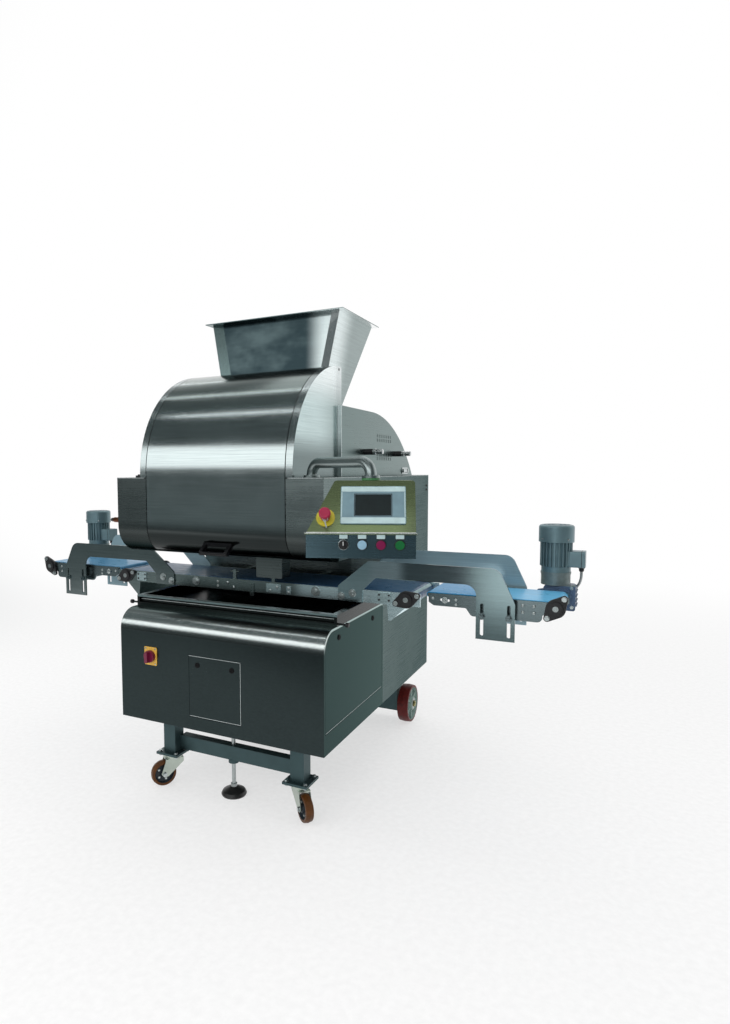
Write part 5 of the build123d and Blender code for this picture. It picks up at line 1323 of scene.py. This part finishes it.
def dress_motor(side, x, body):
    """Cowl screws, the terminal box's lid gasket and the gland nut of one motor."""
    places = []
    for angle in CORNER_TURNS:
        direction = Vector((math.cos(angle), math.sin(angle), 0))
        places.append((*(Vector((x, MOTOR_Y, COWL_SCREW_Z)) + COWL_RADIUS * direction), direction))
    fasteners("cowl_screws_" + side, button_screw, places, 5, body)
    lid = upright(stand(x + TERMINAL_REACH, MOTOR_Y, TERMINAL_Z, RIGHT))
    outline = rounded(TERMINAL_LID, TERMINAL_LID, 6.6)
    plates("terminal_gasket_" + side, [outline], 2, lid, body, black_plastic)
    mesh = bmesh.new()
    gland = stand(x + TERMINAL_REACH, MOTOR_Y, TERMINAL_LOW, DOWN)
    prism(mesh, regular(6, 11.5), 0, 5, gland)
    lathe(mesh, GLAND_END, gland, 24)
    piece("gland_nut_" + side, mesh, black_plastic, body, 0.4)


# Floor, world and lamps: white behind the machine, a dim room in front of it and overhead

BACK_COLOUR = (1.0, 1.0, 1.0, 1.0)
ROOM_COLOUR = (0.088, 0.11, 0.113, 1.0)
ROOM_FLOOR = (0.14, 0.17, 0.175, 1.0)
AMBIENT = (0.78, 0.78, 0.78, 1.0)
ROOM_TO_BACK = (-0.2, 0.6)
CEILING_RISE = (0.57, 0.76)
CEILING_SHARE = 0.85
FLOOR_SIZE = 60.0
FLOOR_PALE = (0.98, 0.98, 0.98)
FLOOR_DARK = (0.225, 0.25, 0.25)
FLOOR_FADE = (2.4, 7.0)
FLOOR_FRONT = (-2.1, -1.6)
FLOOR_LIFT = 0.6

# Lamps: name, place, target and size in metres, and power in watts
LAMPS = (
    ("overhead", (0.2, 1.8, 5.6), (0.1, 0.4, 0.8), (5.0, 2.8), 30),
    ("ceiling strip", (-0.6, -1.6, 4.7), (-0.6, -1.59, 0), (4.5, 0.12), 7),
    ("middle strip", (-0.6, 0.15, 4.7), (-0.6, 0.16, 0), (4.5, 0.12), 7),
    ("rear strip", (-1.6, 2.3, 4.7), (-1.6, 2.31, 0), (4.5, 0.16), 6),
    ("front band", (-1.2, -5.4, 3.05), (-0.3, -0.5, 1.4), (8.5, 2.1), 112),
    ("front low", (0.72, -4.3, 0.4), (0.9, -0.3, 0.8), (1.15, 0.76), 5),
    ("front high", (2.04, -4.4, 4.85), (0.67, -0.64, 1.25), (2.5, 1.6), 9),
)


def seen_rays(tree):
    """One where a ray comes from the camera, a mirror or glass."""
    path = tree.node("LightPath").outputs
    seen = tree.math("ADD", path["Is Camera Ray"], path["Is Glossy Ray"])
    return tree.math("MINIMUM", tree.math("ADD", seen, path["Is Transmission Ray"]), 1.0)


def studio_colour(tree, vector, room):
    """Colour of the studio in a direction: a dim room in front and overhead, white behind."""
    way = tree.parts(tree.vector("NORMALIZE", vector)["Vector"])
    walls = tree.mix(tree.smooth(way["Y"], *ROOM_TO_BACK), room, BACK_COLOUR)
    return tree.mix(tree.smooth(way["Z"], *CEILING_RISE, CEILING_SHARE), walls, room)


def add_world():
    world = bpy.data.worlds.new("studio")
    world.use_nodes = True
    bpy.context.scene.world = world
    tree = Tree(world.node_tree)
    studio = studio_colour(tree, tree.node("TexCoord").outputs["Generated"], ROOM_COLOUR)
    background = world.node_tree.nodes["Background"]
    tree.link(tree.mix(seen_rays(tree), AMBIENT, studio), background.inputs["Color"])


def floor_look():
    """Pale floor, darker well in front of the machine, that fades into the studio's colour far off."""
    look = Look("floor", 0.8)
    grain = look.noise(40, 3.0)
    place = look.position()
    yaw = math.radians(CAMERA_YAW)
    ahead = look.math("SUBTRACT", look.math("MULTIPLY", place["Y"], math.cos(yaw)),
                      look.math("MULTIPLY", place["X"], math.sin(yaw)))
    shade = look.mix(look.smooth(ahead, *FLOOR_FRONT), look.worn(grain, FLOOR_DARK, 0.97, 1.02),
                     look.worn(grain, FLOOR_PALE, 0.97, 1.02))
    look.colour(shade)
    near = look.node("Emission")
    look.link(shade, near.inputs["Color"])
    lift = look.math("MULTIPLY", seen_rays(look), FLOOR_LIFT)
    lifted = look.blend(lift, look.shader.outputs["BSDF"], near)
    far = look.node("Emission")
    look.link(studio_colour(look, look.spot(), ROOM_FLOOR), far.inputs["Color"])
    whole = look.blend(look.smooth(look.axis_distance((0, 0, 0), UP), *FLOOR_FADE), lifted, far)
    look.link(whole, look.tree.nodes["Material Output"].inputs["Surface"])
    return look.material


def add_floor():
    mesh = bmesh.new()
    bmesh.ops.create_circle(mesh, cap_ends=True, segments=96, radius=FLOOR_SIZE)
    data = bpy.data.meshes.new("floor")
    mesh.to_mesh(data)
    mesh.free()
    data.materials.append(floor_look())
    floor = add_object("floor", data)


def add_lamp(name, place, target, size, power):
    data = bpy.data.lights.new(name, "AREA")
    data.shape = "RECTANGLE"
    data.size, data.size_y = size
    data.energy = power
    lamp = add_object(name, data)
    direction = Vector(target) - Vector(place)
    lamp.matrix_world = Matrix.Translation(place) @ direction.to_track_quat("-Z", "Y").to_matrix().to_4x4()


add_camera()
dress_nodes()
dress_base()
for side, sign, _ in SIDES:
    dress_caster(side, sign)
for side, sign, direction in SIDES:
    dress_rear_wheel(side, sign, direction)
dress_head()
dress_panel()
dress_conveyor()
for side, sign, _ in SIDES:
    dress_outfeed(side, sign)
add_world()
add_floor()
for lamp in LAMPS:
    add_lamp(*lamp)
scene = bpy.context.scene
scene.view_settings.view_transform = "Standard"
